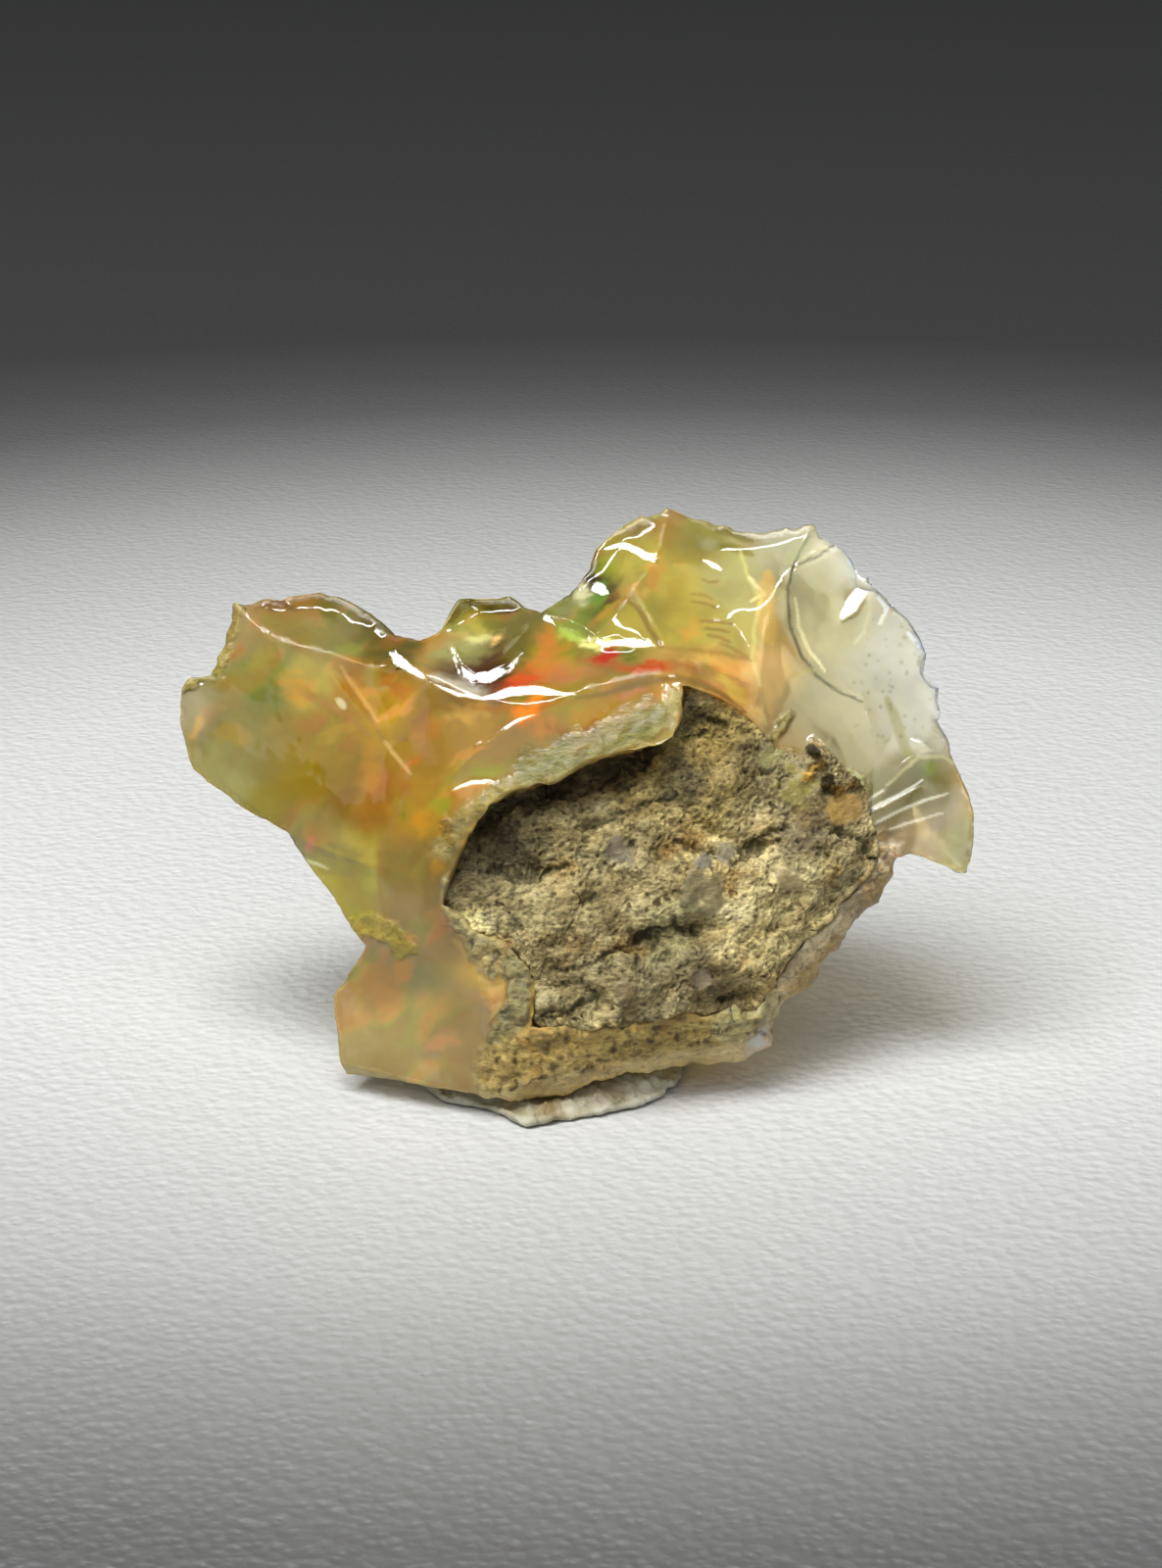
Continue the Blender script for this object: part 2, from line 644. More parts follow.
# play of colour: picture place, half length and width in pixels, lean in degrees,
# shade and brightness, strength
opalFlashes = {
    "heartOrange": ((560, 682), (26, 20), 60, ("rust", 0.63), 1.0),
    "heartPale": ((530, 695), (22, 12), 30, ("ember", 0.70), 0.9),
    "heartEast": ((586, 686), (26, 11), 10, ("salmon", 0.58), 0.85),
    "heartUpper": ((560, 654), (14, 14), 60, ("rust", 0.62), 0.9),
    "heartLower": ((540, 722), (20, 9), 40, ("flame", 0.85), 0.95),
    "heartRed": ((562, 714), (16, 7), 30, ("rust", 0.51), 0.8),
    "heartFoot": ((555, 740), (12, 16), 60, ("rust", 0.66), 0.6),
    "redBand": ((618, 668), (15, 7), 10, ("garnet", 0.59), 1.0),
    "redBandEast": ((664, 677), (32, 5), -3, ("ember", 0.63), 0.95),
    "redTail": ((706, 683), (20, 5), -15, ("rust", 0.52), 0.7),
    "redTailLow": ((724, 697), (17, 5), -18, ("salmon", 0.65), 0.65),
    "tailPeach": ((722, 676), (30, 8), -12, ("honey", 0.75), 0.55),
    "tailAmber": ((748, 706), (22, 8), -30, ("reed", 0.75), 0.6),
    "lensGreen": ((586, 649), (17, 6), -14, ("leaf", 0.61), 1.0),
    "lensLime": ((608, 655), (17, 4), -6, ("sage", 0.82), 0.9),
    "lensEast": ((640, 664), (19, 4), -6, ("moss", 0.33), 0.85),
    "oliveHollow": ((528, 668), (12, 20), 20, ("reed", 0.35), 0.7),
    "bellyGreen": ((512, 700), (14, 8), 20, ("garnet", 0.24), 0.5),
    "bellyGold": ((470, 700), (26, 10), -14, ("milk", 0.76), 0.5),
    "knobDark": ((505, 620), (34, 7), -4, ("rust", 0.19), 0.75),
    "knobGreen": ((487, 640), (12, 5), -30, ("reed", 0.57), 0.85),
    "knobLime": ((490, 650), (15, 4), 4, ("sage", 0.74), 0.7),
    "knobPeach": ((508, 653), (9, 5), 10, ("toffee", 0.87), 0.8),
    "knobUnder": ((475, 664), (20, 5), 0, ("moss", 0.40), 0.5),
    "slopeTeal": ((608, 610), (14, 9), 60, ("teal", 0.46), 0.9),
    "slopeGreen": ((578, 622), (18, 7), 45, ("sage", 0.43), 0.85),
    "slopeRust": ((592, 604), (7, 12), 20, ("bone", 0.84), 0.55),
    "slopeLime": ((618, 583), (14, 9), 50, ("moss", 0.49), 0.75),
    "slopeYellow": ((640, 583), (8, 13), -15, ("reed", 0.56), 0.65),
    "slopeOrange": ((640, 600), (12, 10), 30, ("honey", 0.63), 0.7),
    "slopeRed": ((668, 586), (8, 18), -15, ("copper", 0.65), 0.8),
    "slopeAmber": ((656, 603), (8, 11), 20, ("honey", 0.71), 0.6),
    "slopeEdge": ((626, 620), (22, 5), 38, ("olive", 0.54), 0.7),
    "crestRust": ((655, 540), (20, 8), 35, ("peach", 0.41), 0.6),
    "crestGold": ((675, 545), (12, 16), 30, ("amber", 0.53), 0.55),
    "crestGreen": ((716, 550), (20, 9), -20, ("reed", 0.42), 0.55),
    "crestTeal": ((722, 556), (9, 6), -20, ("bone", 0.64), 0.4),
    "domeLime": ((690, 598), (12, 18), -15, ("gold", 0.52), 0.5),
    "domeOrange": ((704, 642), (16, 8), 10, ("rust", 0.71), 0.5),
    "foldRedOrange": ((408, 702), (14, 10), 20, ("rust", 0.58), 0.85),
    "foldOrange": ((385, 692), (14, 10), -30, ("reed", 0.51), 0.7),
    "foldAmber": ((305, 700), (15, 14), 10, ("amber", 0.69), 0.65),
    "foldRust": ((330, 716), (28, 5), -38, ("gold", 0.46), 0.6),
    "foldRustEast": ((370, 712), (30, 4), -52, ("amber", 0.63), 0.6),
    "foldBright": ((404, 722), (24, 5), 38, ("copper", 0.73), 0.7),
    "cheekOrange": ((375, 786), (10, 28), -12, ("amber", 0.60), 0.6),
    "cheekRed": ((380, 825), (12, 18), 0, ("amber", 0.46), 0.6),
    "cheekAmber": ((345, 745), (18, 12), 20, ("gold", 0.67), 0.45),
    "bandRust": ((286, 617), (26, 6), 4, ("rust", 0.31), 0.65),
    "bandOrange": ((314, 611), (14, 5), 6, ("amber", 0.49), 0.7),
    "bandGreen": ((334, 622), (9, 20), 20, ("olive", 0.34), 0.8),
    "bandLime": ((359, 661), (12, 7), 10, ("leaf", 0.49), 0.7),
    "bandTop": ((318, 640), (10, 12), 0, ("sage", 0.44), 0.5),
    "bandBrown": ((380, 640), (20, 8), -34, ("honey", 0.28), 0.6),
    "lobeOrange": ((202, 742), (6, 15), -4, ("honey", 0.65), 0.85),
    "lobeAmber": ((239, 662), (10, 11), 0, ("rust", 0.54), 0.65),
    "lobeGreenEdge": ((270, 672), (12, 14), -30, ("reed", 0.52), 0.6),
    "lobeGreen": ((244, 716), (20, 14), 10, ("honey", 0.46), 0.55),
    "lobeGold": ((240, 752), (16, 10), 0, ("gold", 0.58), 0.45),
    "lobeRust": ((318, 734), (18, 12), 20, ("rust", 0.56), 0.5),
    "flankRed": ((316, 855), (7, 8), 0, ("rose", 0.70), 0.9),
    "flankRedSoft": ((322, 848), (16, 15), 0, ("copper", 0.58), 0.45),
    "flankDark": ((350, 868), (20, 14), 0, ("slate", 0.23), 0.5),
    "massBrown": ((430, 738), (16, 18), 20, ("copper", 0.51), 0.75),
    "massRed": ((436, 768), (13, 11), 0, ("peach", 0.51), 0.6),
    "massLine": ((425, 778), (12, 4), 40, ("flame", 0.62), 0.6),
    "underBrowGold": ((478, 728), (22, 10), 6, ("honey", 0.71), 0.5),
    "underBrowRed": ((478, 768), (22, 3), 35, ("copper", 0.63), 0.7),
    "underBrowGreen": ((502, 782), (24, 8), 8, ("moss", 0.49), 0.65),
    "underHeartRust": ((572, 752), (18, 12), -50, ("rust", 0.30), 0.5),
    "underBrowRose": ((603, 740), (11, 9), 0, ("ember", 0.46), 0.6),
    "underBrowAmber": ((640, 733), (13, 8), 0, ("flame", 0.53), 0.5),
    "lipRose": ((650, 708), (20, 5), 8, ("rose", 0.64), 0.5),
    "westGreen": ((408, 828), (9, 12), 0, ("moss", 0.41), 0.75),
    "westLime": ((447, 822), (11, 9), 0, ("moss", 0.49), 0.75),
    "westOrange": ((432, 838), (12, 9), 30, ("amber", 0.66), 0.8),
    "westRust": ((412, 800), (9, 16), 0, ("rust", 0.53), 0.6),
    "westAmber": ((448, 872), (10, 24), -10, ("amber", 0.61), 0.6),
    "westRose": ((415, 862), (12, 10), 0, ("copper", 0.50), 0.45),
    "footOrange": ((452, 1064), (15, 11), 10, ("peach", 0.63), 0.85),
    "footRose": ((440, 1075), (16, 6), 0, ("sand", 0.44), 0.5),
    "footUpper": ((410, 992), (15, 8), 50, ("copper", 0.59), 0.75),
    "footSide": ((375, 1022), (10, 12), 0, ("fern", 0.37), 0.35),
    "finGreen": ((948, 781), (11, 9), -10, ("leaf", 0.57), 0.95),
    "finTeal": ((940, 790), (17, 10), 20, ("fern", 0.43), 0.5),
    "finPink": ((934, 846), (13, 10), 30, ("straw", 0.53), 0.75),
    "finLime": ((972, 852), (12, 8), 0, ("sage", 0.58), 0.7),
    "finTipTeal": ((990, 870), (6, 7), 0, ("leaf", 0.23), 0.6),
    "heelBlue": ((768, 1058), (16, 10), 10, ("sky", 0.83), 0.6),
}

# crisp strokes inside the stone: path in the picture, half width in pixels, shade and brightness, strength
opalStrokes = {
    "brow": (
        ((588, 713), (625, 706), (652, 698), (690, 691), (716, 697), (740, 710), (760, 727)),
        3.5, ("honey", 0.46), 0.75,
    ),
    "browCast": (((480, 722), (520, 723), (560, 719), (590, 716)), 4, ("rust", 0.59), 0.4),
    "facetEdge": (((640, 612), (651, 620), (663, 642), (675, 659)), 3.2, ("honey", 0.48), 0.75),
    "facetFoot": (((676, 661), (705, 663), (740, 667), (770, 674)), 2.2, ("honey", 0.55), 0.6),
    "slopeFoot": (((598, 641), (612, 630), (628, 618), (643, 608)), 3, ("copper", 0.60), 0.5),
    "arcDark": (
        ((826, 548), (812, 572), (804, 600), (806, 638), (818, 668), (834, 690), (856, 706), (880, 716)),
        1.7, ("mint", 0.35), 0.9,
    ),
    "arcPale": (((812, 610), (815, 640), (826, 664), (842, 684)), 1.8, ("bone", 0.94), 0.7),
    "arcPatch": (((791, 632), (799, 650), (811, 668)), 6, ("honey", 0.64), 0.75),
    "arcInner": (((788, 612), (795, 640), (810, 668), (832, 692)), 1.8, ("straw", 0.58), 0.65),
    "chip": (((811, 577), (832, 569), (854, 554)), 1.3, ("bone", 0.37), 0.85),
    "chipCast": (((802, 574), (812, 562), (826, 548)), 8, ("mint", 0.61), 0.6),
    "discRim": (((886, 600), (888, 622), (882, 645), (872, 656)), 1.8, ("bone", 0.76), 0.5),
    "plateStroke": (((905, 712), (914, 734), (922, 758), (930, 778)), 7, ("sage", 0.54), 0.75),
    "plateVein": (((806, 690), (802, 706), (796, 722)), 3, ("sage", 0.59), 0.6),
    "plateVeinEast": (((806, 690), (820, 686), (832, 684)), 2.6, ("sage", 0.61), 0.5),
    "finFold": (((905, 802), (922, 786), (938, 772), (962, 772), (978, 782)), 1.8, ("bone", 0.82), 0.6),
    "innerStreak": (((340, 676), (358, 702), (376, 730), (392, 757)), 2.4, ("copper", 0.58), 0.45),
    "innerStreakPale": (((348, 680), (366, 708), (386, 736)), 2, ("straw", 0.83), 0.3),
    "lowerStreak": (((392, 757), (404, 772), (420, 790)), 2, ("straw", 0.77), 0.45),
    "foldShade": (((312, 712), (340, 720), (362, 738), (378, 752)), 3, ("copper", 0.59), 0.5),
    "bandEdge": (
        ((262, 646), (296, 655), (317, 668), (338, 671), (352, 676), (372, 684)),
        3, ("honey", 0.55), 0.5,
    ),
    "bandBody": (((268, 632), (300, 642), (330, 650), (362, 660)), 12, ("reed", 0.46), 0.55),
    "ovalEdge": (
        ((416, 806), (400, 840), (390, 866), (387, 900), (392, 932), (404, 957), (424, 973), (446, 982)),
        2.6, ("honey", 0.53), 0.55,
    ),
    "crownStroke": (((728, 540), (748, 543), (768, 552)), 6, ("reed", 0.45), 0.8),
    "crownStrokeLow": (((736, 556), (752, 560), (768, 566)), 5, ("reed", 0.46), 0.75),
    "crownArc": (((764, 588), (774, 600), (780, 606), (766, 613)), 1.6, ("bone", 0.88), 0.7),
    "hackleA": (((716, 634), (732, 634), (748, 637)), 1.6, ("honey", 0.52), 0.75),
    "hackleB": (((719, 641), (732, 642), (744, 645)), 1.6, ("honey", 0.52), 0.75),
    "hackleC": (((722, 648), (734, 650), (746, 655)), 1.6, ("honey", 0.52), 0.75),
    "hackleD": (((734, 655), (748, 662), (766, 672)), 1.8, ("honey", 0.54), 0.6),
    "hackleE": (((706, 613), (718, 615), (732, 620)), 1.6, ("honey", 0.52), 0.7),
    "hackleF": (((704, 606), (716, 607), (728, 612)), 1.5, ("honey", 0.54), 0.6),
    "hackleG": (((716, 591), (724, 594), (734, 593)), 1.5, ("honey", 0.51), 0.65),
    "hackleH": (((700, 620), (690, 623), (676, 622)), 1.5, ("reed", 0.54), 0.4),
    "amberColumn": (((784, 585), (781, 620), (787, 655)), 12, ("honey", 0.80), 0.6),
    "seam": (
        ((755, 560), (764, 590), (777, 612), (770, 640), (768, 672), (776, 700)),
        2, ("sage", 0.80), 0.5,
    ),
    "glint": (((345, 714), (352, 722)), 4, ("bone", 0.82), 0.6),
    "veil": (((290, 868), (312, 878), (335, 886)), 1.8, ("bone", 0.89), 0.6),
    "scratchA": (((872, 835), (900, 820), (928, 805), (941, 796)), 1.3, ("milk", 0.97), 0.85),
    "scratchB": (((868, 828), (888, 816), (902, 806)), 1.2, ("milk", 0.97), 0.7),
    "scratchC": (((890, 842), (916, 828), (946, 816), (968, 810)), 1.1, ("milk", 0.94), 0.7),
    "scratchD": (((908, 846), (932, 838), (962, 830)), 1.0, ("milk", 0.92), 0.6),
    "nickA": (((896, 608), (906, 620), (898, 636)), 2.4, ("milk", 0.99), 0.75),
    "nickB": (((926, 646), (936, 656), (946, 668)), 2.6, ("milk", 0.99), 0.7),
    "nickC": (((944, 690), (953, 700), (961, 712)), 1.8, ("milk", 0.96), 0.7),
    "nickD": (((936, 676), (946, 674)), 1.8, ("mint", 0.42), 0.5),
    "nickE": (((866, 572), (880, 590), (892, 604)), 1.6, ("milk", 0.97), 0.6),
    "tipRim": (((880, 884), (915, 880), (950, 886), (980, 884)), 3, ("sage", 0.68), 0.5),
}

sunkStrokes = ("arcDark", "chip", "hackleA", "hackleB", "hackleC", "hackleE", "facetEdge")

# rough matt rind on the stone: path, half width in pixels, shade and brightness, strength, rise in mm
opalRinds = {
    "lipEdge": (
        (
            (452, 868), (470, 840), (496, 818), (530, 800), (575, 786),
            (615, 768), (650, 752), (676, 736), (690, 712),
        ),
        9, ("sage", 0.62), 0.75, 0.03,
    ),
    "lipShelf": (((540, 782), (590, 764), (630, 748), (664, 730)), 16, ("leaf", 0.45), 0.6, 0.0),
    "westCrust": (((462, 905), (470, 938), (486, 962), (500, 988)), 11, ("bone", 0.64), 0.85, 0.05),
    "yellowRidge": (
        ((500, 966), (519, 974), (531, 1000), (526, 1034), (512, 1062)),
        13, ("bone", 0.56), 0.9, 0.1,
    ),
    "footEdge": (((512, 1056), (504, 1084), (500, 1112)), 9, ("sage", 0.42), 0.9, 0.06),
    "southSkin": (
        ((510, 1092), (560, 1072), (620, 1064), (690, 1050), (750, 1040)),
        28, ("wheat", 0.69), 0.95, 0.1,
    ),
    "southRim": (
        ((505, 1120), (560, 1108), (620, 1096), (690, 1086), (745, 1080)),
        12, ("stone", 0.78), 0.7, 0.0,
    ),
    "heelSkin": (((745, 1046), (775, 1022), (800, 996)), 20, ("bone", 0.71), 0.9, 0.15),
    "eastSkin": (
        ((800, 996), (830, 962), (862, 926), (886, 898), (904, 874)),
        16, ("cream", 0.82), 0.95, 0.12,
    ),
    "eastRim": (((812, 1012), (842, 976), (880, 944), (900, 905)), 9, ("straw", 0.68), 0.8, 0.04),
    "bridge": (((346, 968), (362, 950), (380, 944), (398, 952), (410, 966)), 12, ("reed", 0.69), 0.6, 0.05),
    "lobeRim": (
        ((188, 700), (204, 690), (222, 688), (230, 664), (236, 640), (242, 622)),
        6, ("reed", 0.63), 0.6, 0.03,
    ),
    "mossHead": (((830, 764), (834, 776), (844, 784)), 8, ("honey", 0.68), 0.95, 0.06),
    "mossBody": (((836, 780), (842, 796), (854, 808)), 9, ("reed", 0.17), 0.95, 0.05),
    "mossEast": (((866, 792), (880, 796), (874, 812), (862, 806)), 6, ("mint", 0.81), 0.9, 0.05),
    "mossAmber": (((812, 778), (822, 806), (846, 822), (872, 824)), 11, ("gold", 0.55), 0.7, 0.05),
    "mossWest": (((790, 752), (796, 742), (805, 731)), 4.5, ("sage", 0.60), 0.85, 0.06),
    "mossLip": (((456, 842), (460, 858)), 7, ("brass", 0.52), 0.7, 0.05),
    "finFoot": (((868, 838), (888, 862), (912, 884)), 6, ("amber", 0.39), 0.6, 0.05),
}

softRinds = ("lipShelf", "lipEdge", "southRim", "footEdge")  # these fade out slowly
raggedRinds = ("lipEdge", "westCrust", "southRim", "eastRim", "finFoot")  # broken rims run along these

# ledges that lean back and catch the lamp: lower edge in the picture, width in pixels
opalLedges = {
    "browWest": (((399, 673), (418, 685), (434, 693)), 8),
    "brow": (
        (
            (436, 694), (450, 703), (468, 711), (490, 715), (505, 713),
            (520, 709), (549, 707), (575, 709), (590, 709),
        ),
        6,
    ),
    "bowl": (((460, 668), (468, 684), (482, 693), (500, 694), (520, 686), (536, 668)), 9),
    "lensWest": (((554, 634), (578, 641), (600, 651), (622, 661)), 8),
    "lensEast": (((618, 657), (645, 660), (675, 658)), 9),
    "crest": (((617, 562), (636, 560), (655, 568), (673, 572)), 7),
    "slant": (((486, 762), (505, 752), (528, 738), (552, 728)), 5),
    "loop": (((462, 808), (482, 800), (500, 800), (516, 806)), 6),
    "discComma": (((858, 634), (872, 626), (884, 608), (890, 590)), 15),
    "slopeGlint": (((602, 602), (612, 605), (621, 602)), 10),
    "finScratch": (((874, 836), (900, 824), (922, 812), (944, 800)), 3),
    "knobGlint": (((480, 618), (488, 626)), 3),
    "crownGlint": (((716, 570), (726, 576), (736, 582)), 4),
}


def pathReach(u, v, path):  # distance to a path, which side (above it is positive), and how far along it
    nearest = np.full(len(u), 1e9)
    side = np.zeros(len(u))
    along = np.zeros(len(u))
    spots = np.array(path, float)
    lengths = np.linalg.norm(np.diff(spots, axis=0), axis=1)
    begun = np.concatenate([[0], np.cumsum(lengths)]) / lengths.sum()
    for number, (start, end) in enumerate(zip(spots, spots[1:])):
        run = (end - start) / lengths[number]
        ahead = (u - start[0]) * run[0] + (v - start[1]) * run[1]
        held = np.clip(ahead, 0, lengths[number])
        away = np.hypot(u - start[0] - held * run[0], v - start[1] - held * run[1])
        closer = away < nearest
        nearest[closer] = away[closer]
        across = (u - start[0]) * run[1] - (v - start[1]) * run[0]
        side[closer] = np.sign(across[closer]) * (1 if run[0] >= 0 else -1)
        along[closer] = (begun[number] + held / lengths[number] * (begun[number + 1] - begun[number]))[closer]
    return nearest, side, along


def inSight(points, faces, normals):  # where the camera sees the skin, and the same with soft borders
    tree = BVHTree.FromPolygons(points.tolist(), faces.tolist())
    spot = Vector(cameraSet["spot"])
    away = spot - Vector((0, 0, 0.01))
    seen = normals @ (np.array(away) / away.length) > 0.02
    for number in np.flatnonzero(seen):
        start = Vector(points[number] + normals[number] * 0.03 * mm)
        if tree.ray_cast(start, spot - start)[0] is not None:
            seen[number] = False
    return seen, softened(seen.astype(float), edgesOf(faces)[0], 6)


def shapeOpal():
    points, faces = mergedCopy("opal")
    edges, sides = edgesOf(faces)
    ridges = edges[foldAngles(points, faces, edges, sides) > opal["creaseAngle"]]
    for rounds in (6, 8):
        points, faces, ridges = splitSkin(points, faces, ridges)
        points = relaxed(points, faces, ridges, rounds)
    view = viewLine()

    def seenAndLong(points, edges):
        facing = pointNormals(points, faces) @ view > -0.1
        return facing[edges].all(axis=1) & longerThan(opal["fineEdge"], points, edges)

    points, faces, ridges = splitSkin(points, faces, ridges, seenAndLong)
    points = relaxed(points, faces, ridges, 6)

    def nearLedge(points, edges):
        u, v, _ = seenAt(points)
        close = np.zeros(len(points), bool)
        for path, width in opalLedges.values():
            away, side, _ = pathReach(u, v, path)
            close |= (away * side > -5) & (away * side < width + 5)
        close &= pointNormals(points, faces) @ view > 0
        return close[edges].all(axis=1) & longerThan(opal["ledgeEdge"], points, edges)

    points, faces, ridges = splitSkin(points, faces, ridges, nearLedge)
    points = relaxed(points, faces, ridges, 2)
    return points + 0.4 * (neighbourMean(points, edgesOf(faces)[0]) - points), faces


def ledgeShare(u, v):  # 1 on the bands that mirror the lamp
    share = np.zeros(len(u))
    for path, width in opalLedges.values():
        away, side, along = pathReach(u, v, path)
        above = away * side
        spread = width * np.sqrt(np.clip(4 * along * (1 - along), 0.02, 1))
        inside = (above > -0.5) & (above < spread) & (along > 0.005) & (along < 0.995)
        share = np.maximum(share, inside)
    return share


def lampSlope(points, normals):
    # slope that a lift of the skin needs to mirror the glint lamp into the picture
    toCamera = cameraSet["spot"] - points
    toCamera /= np.linalg.norm(toCamera, axis=1)[:, None]
    facing = np.einsum("ij,ij->i", normals, toCamera)
    bounce = 2 * facing[:, None] * normals - toCamera
    spot = np.array(studio["glintSpot"])
    along = np.array((spot[2], 0, -spot[0])) / math.hypot(spot[0], spot[2])
    reach = (spot[2] - points[:, 2]) / np.maximum(bounce[:, 2], 0.25)
    half = 0.4 * studio["glintSize"][0]
    shift = np.clip((points + reach[:, None] * bounce - spot) @ along, -half, half)
    toLamp = spot + shift[:, None] * along - points
    mirror = toLamp / np.linalg.norm(toLamp, axis=1)[:, None] + toCamera
    mirror /= np.linalg.norm(mirror, axis=1)[:, None]
    return normals - mirror / np.maximum(np.einsum("ij,ij->i", normals, mirror), 0.35)[:, None]


def leanLedges(points, faces, seen):
    # least squares: the lift turns the bands to the lamp, and other skin a little away from it
    edges = edgesOf(faces)[0]
    u, v, _ = seenAt(points)
    share = ledgeShare(u, v) * seen
    near = seen[:, None].astype(float)
    for _ in range(8):
        near = np.maximum(near, neighbourMean(near, edges) > 0)
    edges = edges[(near[edges, 0] > 0).all(axis=1)]
    first, second = edges.T
    banded = (share[first] > 0) & (share[second] > 0)
    anchor = np.where(share > 0, opal["holdLedge"], opal["holdSkin"])
    tilt = math.radians(cameraSet["tilt"])
    upward = np.array((0, math.sin(tilt), math.cos(tilt)))
    clearOf = math.tan(math.radians(opal["turnAway"]))

    def spread(steps):
        return np.bincount(second, steps, len(points)) - np.bincount(first, steps, len(points))

    for _ in range(opal["ledgeRounds"]):
        normals = pointNormals(points, faces)
        slope = lampSlope(points, normals)
        climb = upward - (normals @ upward)[:, None] * normals
        climb /= np.maximum(np.linalg.norm(climb, axis=1), 0.2)[:, None]
        shine = seen * (share == 0) * np.clip(1.6 - np.linalg.norm(slope, axis=1) / clearOf, 0, 1)
        lean = np.einsum("ij,ij->i", slope, climb)
        side = np.sign(softened(lean, edges, 30))
        away = (lean - side * clearOf)[:, None] * climb
        wanted = np.where((share > 0)[:, None], slope, away)
        run = points[second] - points[first]
        busy = (1 - opal["calmPull"]) * np.minimum(shine[first], shine[second])
        pull = np.where(banded, 1.0, opal["calmPull"] + busy)
        turned = banded | ((shine[first] > 0) & (shine[second] > 0))
        climbed = np.einsum("ij,ij->i", 0.5 * (wanted[first] + wanted[second]), run)
        rest = spread(pull * turned * climbed)
        lift = np.zeros(len(points))
        ahead = rest.copy()
        size = rest @ rest
        for _ in range(opal["solveSteps"]):
            pushed = spread(pull * (ahead[second] - ahead[first])) + anchor * ahead
            step = size / max(ahead @ pushed, 1e-30)
            lift += step * ahead
            rest -= step * pushed
            fresh = rest @ rest
            ahead = rest + fresh / max(size, 1e-30) * ahead
            size = fresh
        points = points + normals * lift[:, None]
    return points


def seamWander(points, u, v):  # mm; the opal's pocket rim and the rock's rim wander together
    near = np.zeros(len(points))
    for path, _ in (hostRock["southRim"], hostRock["eastRim"]):
        near = np.maximum(near, 1 - easeBetween(pathReach(u, v, path)[0], 6, 30))
    return hostRock["seam"] * near[:, None] * wanderOf(points, 0.8, 3, (67, 68, 69))


def grainOpal(points, faces):
    # slow swells and chips, then ledges, rough rinds and strokes sunk a little
    edges = edgesOf(faces)[0]
    u, v, _ = seenAt(points)
    ledge = np.zeros(len(points))
    for name, (path, width) in opalLedges.items():
        near = 1 - easeBetween(pathReach(u, v, path)[0], width, width + 12)
        ledge = np.maximum(ledge, near)
        for _ in range(opal["browRounds"] if name.startswith("brow") else 0):
            points = points + 0.5 * near[:, None] * (neighbourMean(points, edges) - points)
    normals = pointNormals(points, faces)
    seen, sight = inSight(points, faces, normals)
    bend = bendOf(points, edges, normals, 3)
    chips = np.clip(cloudOf(points, 1.4, 3, 16) + 0.1, 0, 0.8)
    swell = opal["swell"] * (cloudOf(points, 0.45, 2, 1) + 0.25 * cloudOf(points, 1.6, 2, 2))
    swell -= opal["nick"] * easeBetween(bend, 0.005, 0.014) * chips * (1 - ledge)

    u, v, _ = seenAt(points)
    rim = np.zeros(len(points))
    for name in raggedRinds:
        rim = np.maximum(rim, 1 - easeBetween(pathReach(u, v, opalRinds[name][0])[0], 8, 24))
    sideways = opal["wander"] * wanderOf(points, 0.9, 2, (61, 62, 63))
    sideways -= np.einsum("ij,ij->i", sideways, normals)[:, None] * normals * (1 - rim)[:, None]
    sideways += opal["ragged"] * rim[:, None] * wanderOf(points, 1.1, 2, (64, 65, 66))
    sideways += seamWander(points, u, v)
    points = leanLedges(points + (sideways + normals * swell[:, None]) * mm, faces, seen)

    normals = pointNormals(points, faces)
    u, v, _ = seenAt(points)
    rise = np.zeros(len(points))
    rind = np.zeros(len(points))
    driftU, driftV = drifted(points, u, v, 5.0, 1.8, 2, (3, 4))
    for name, (path, half, _, strength, lift) in opalRinds.items():
        share = (1 - easeBetween(pathReach(driftU, driftV, path)[0], 0.75 * half, 1.25 * half)) * sight
        rise += lift * share
        rind = np.maximum(rind, share * strength * (0.25 if name.startswith("lip") else 1))
    lumps = opal["rindLump"] * cloudOf(points, 1.6, 3, 5)
    rise += rind * (lumps + opal["rindStreak"] * streaked(points, 35, 6.0, 1.6, 6))
    for name in sunkStrokes:
        path, half, _, _ = opalStrokes[name]
        rise -= opal["sunk"] * sight * np.exp(-((pathReach(u, v, path)[0] / half) ** 2))
    return points + normals * (rise * mm)[:, None], sight


def shimmered(points, u, v, wash):  # small drifting colours, fewer on the clear plate and the calm lobe
    tints = np.array([srgb(*levels) for levels in opal["shimmerTints"]])
    last = len(tints) - 1
    drift = streaked(points, 40, 0.55, 2.2, 11) + 0.35 * streaked(points, 50, 1.8, 3, 12)
    which = np.clip((drift * 1.5 + 0.5) * len(tints), 0, last - 0.001)
    low = which.astype(int)
    tone = tints[low] + (tints[np.minimum(low + 1, last)] - tints[low]) * (which - low)[:, None]
    west = 1 - easeBetween(u, 720, 800)
    calm = 1 - 0.6 * patchAt(u, v, (280, 790), (90, 60))
    share = opal["shimmer"] * west * calm * easeBetween(streaked(points, 35, 0.8, 2.5, 13), -0.25, 0.5)
    return laidOver(wash, share, tone)


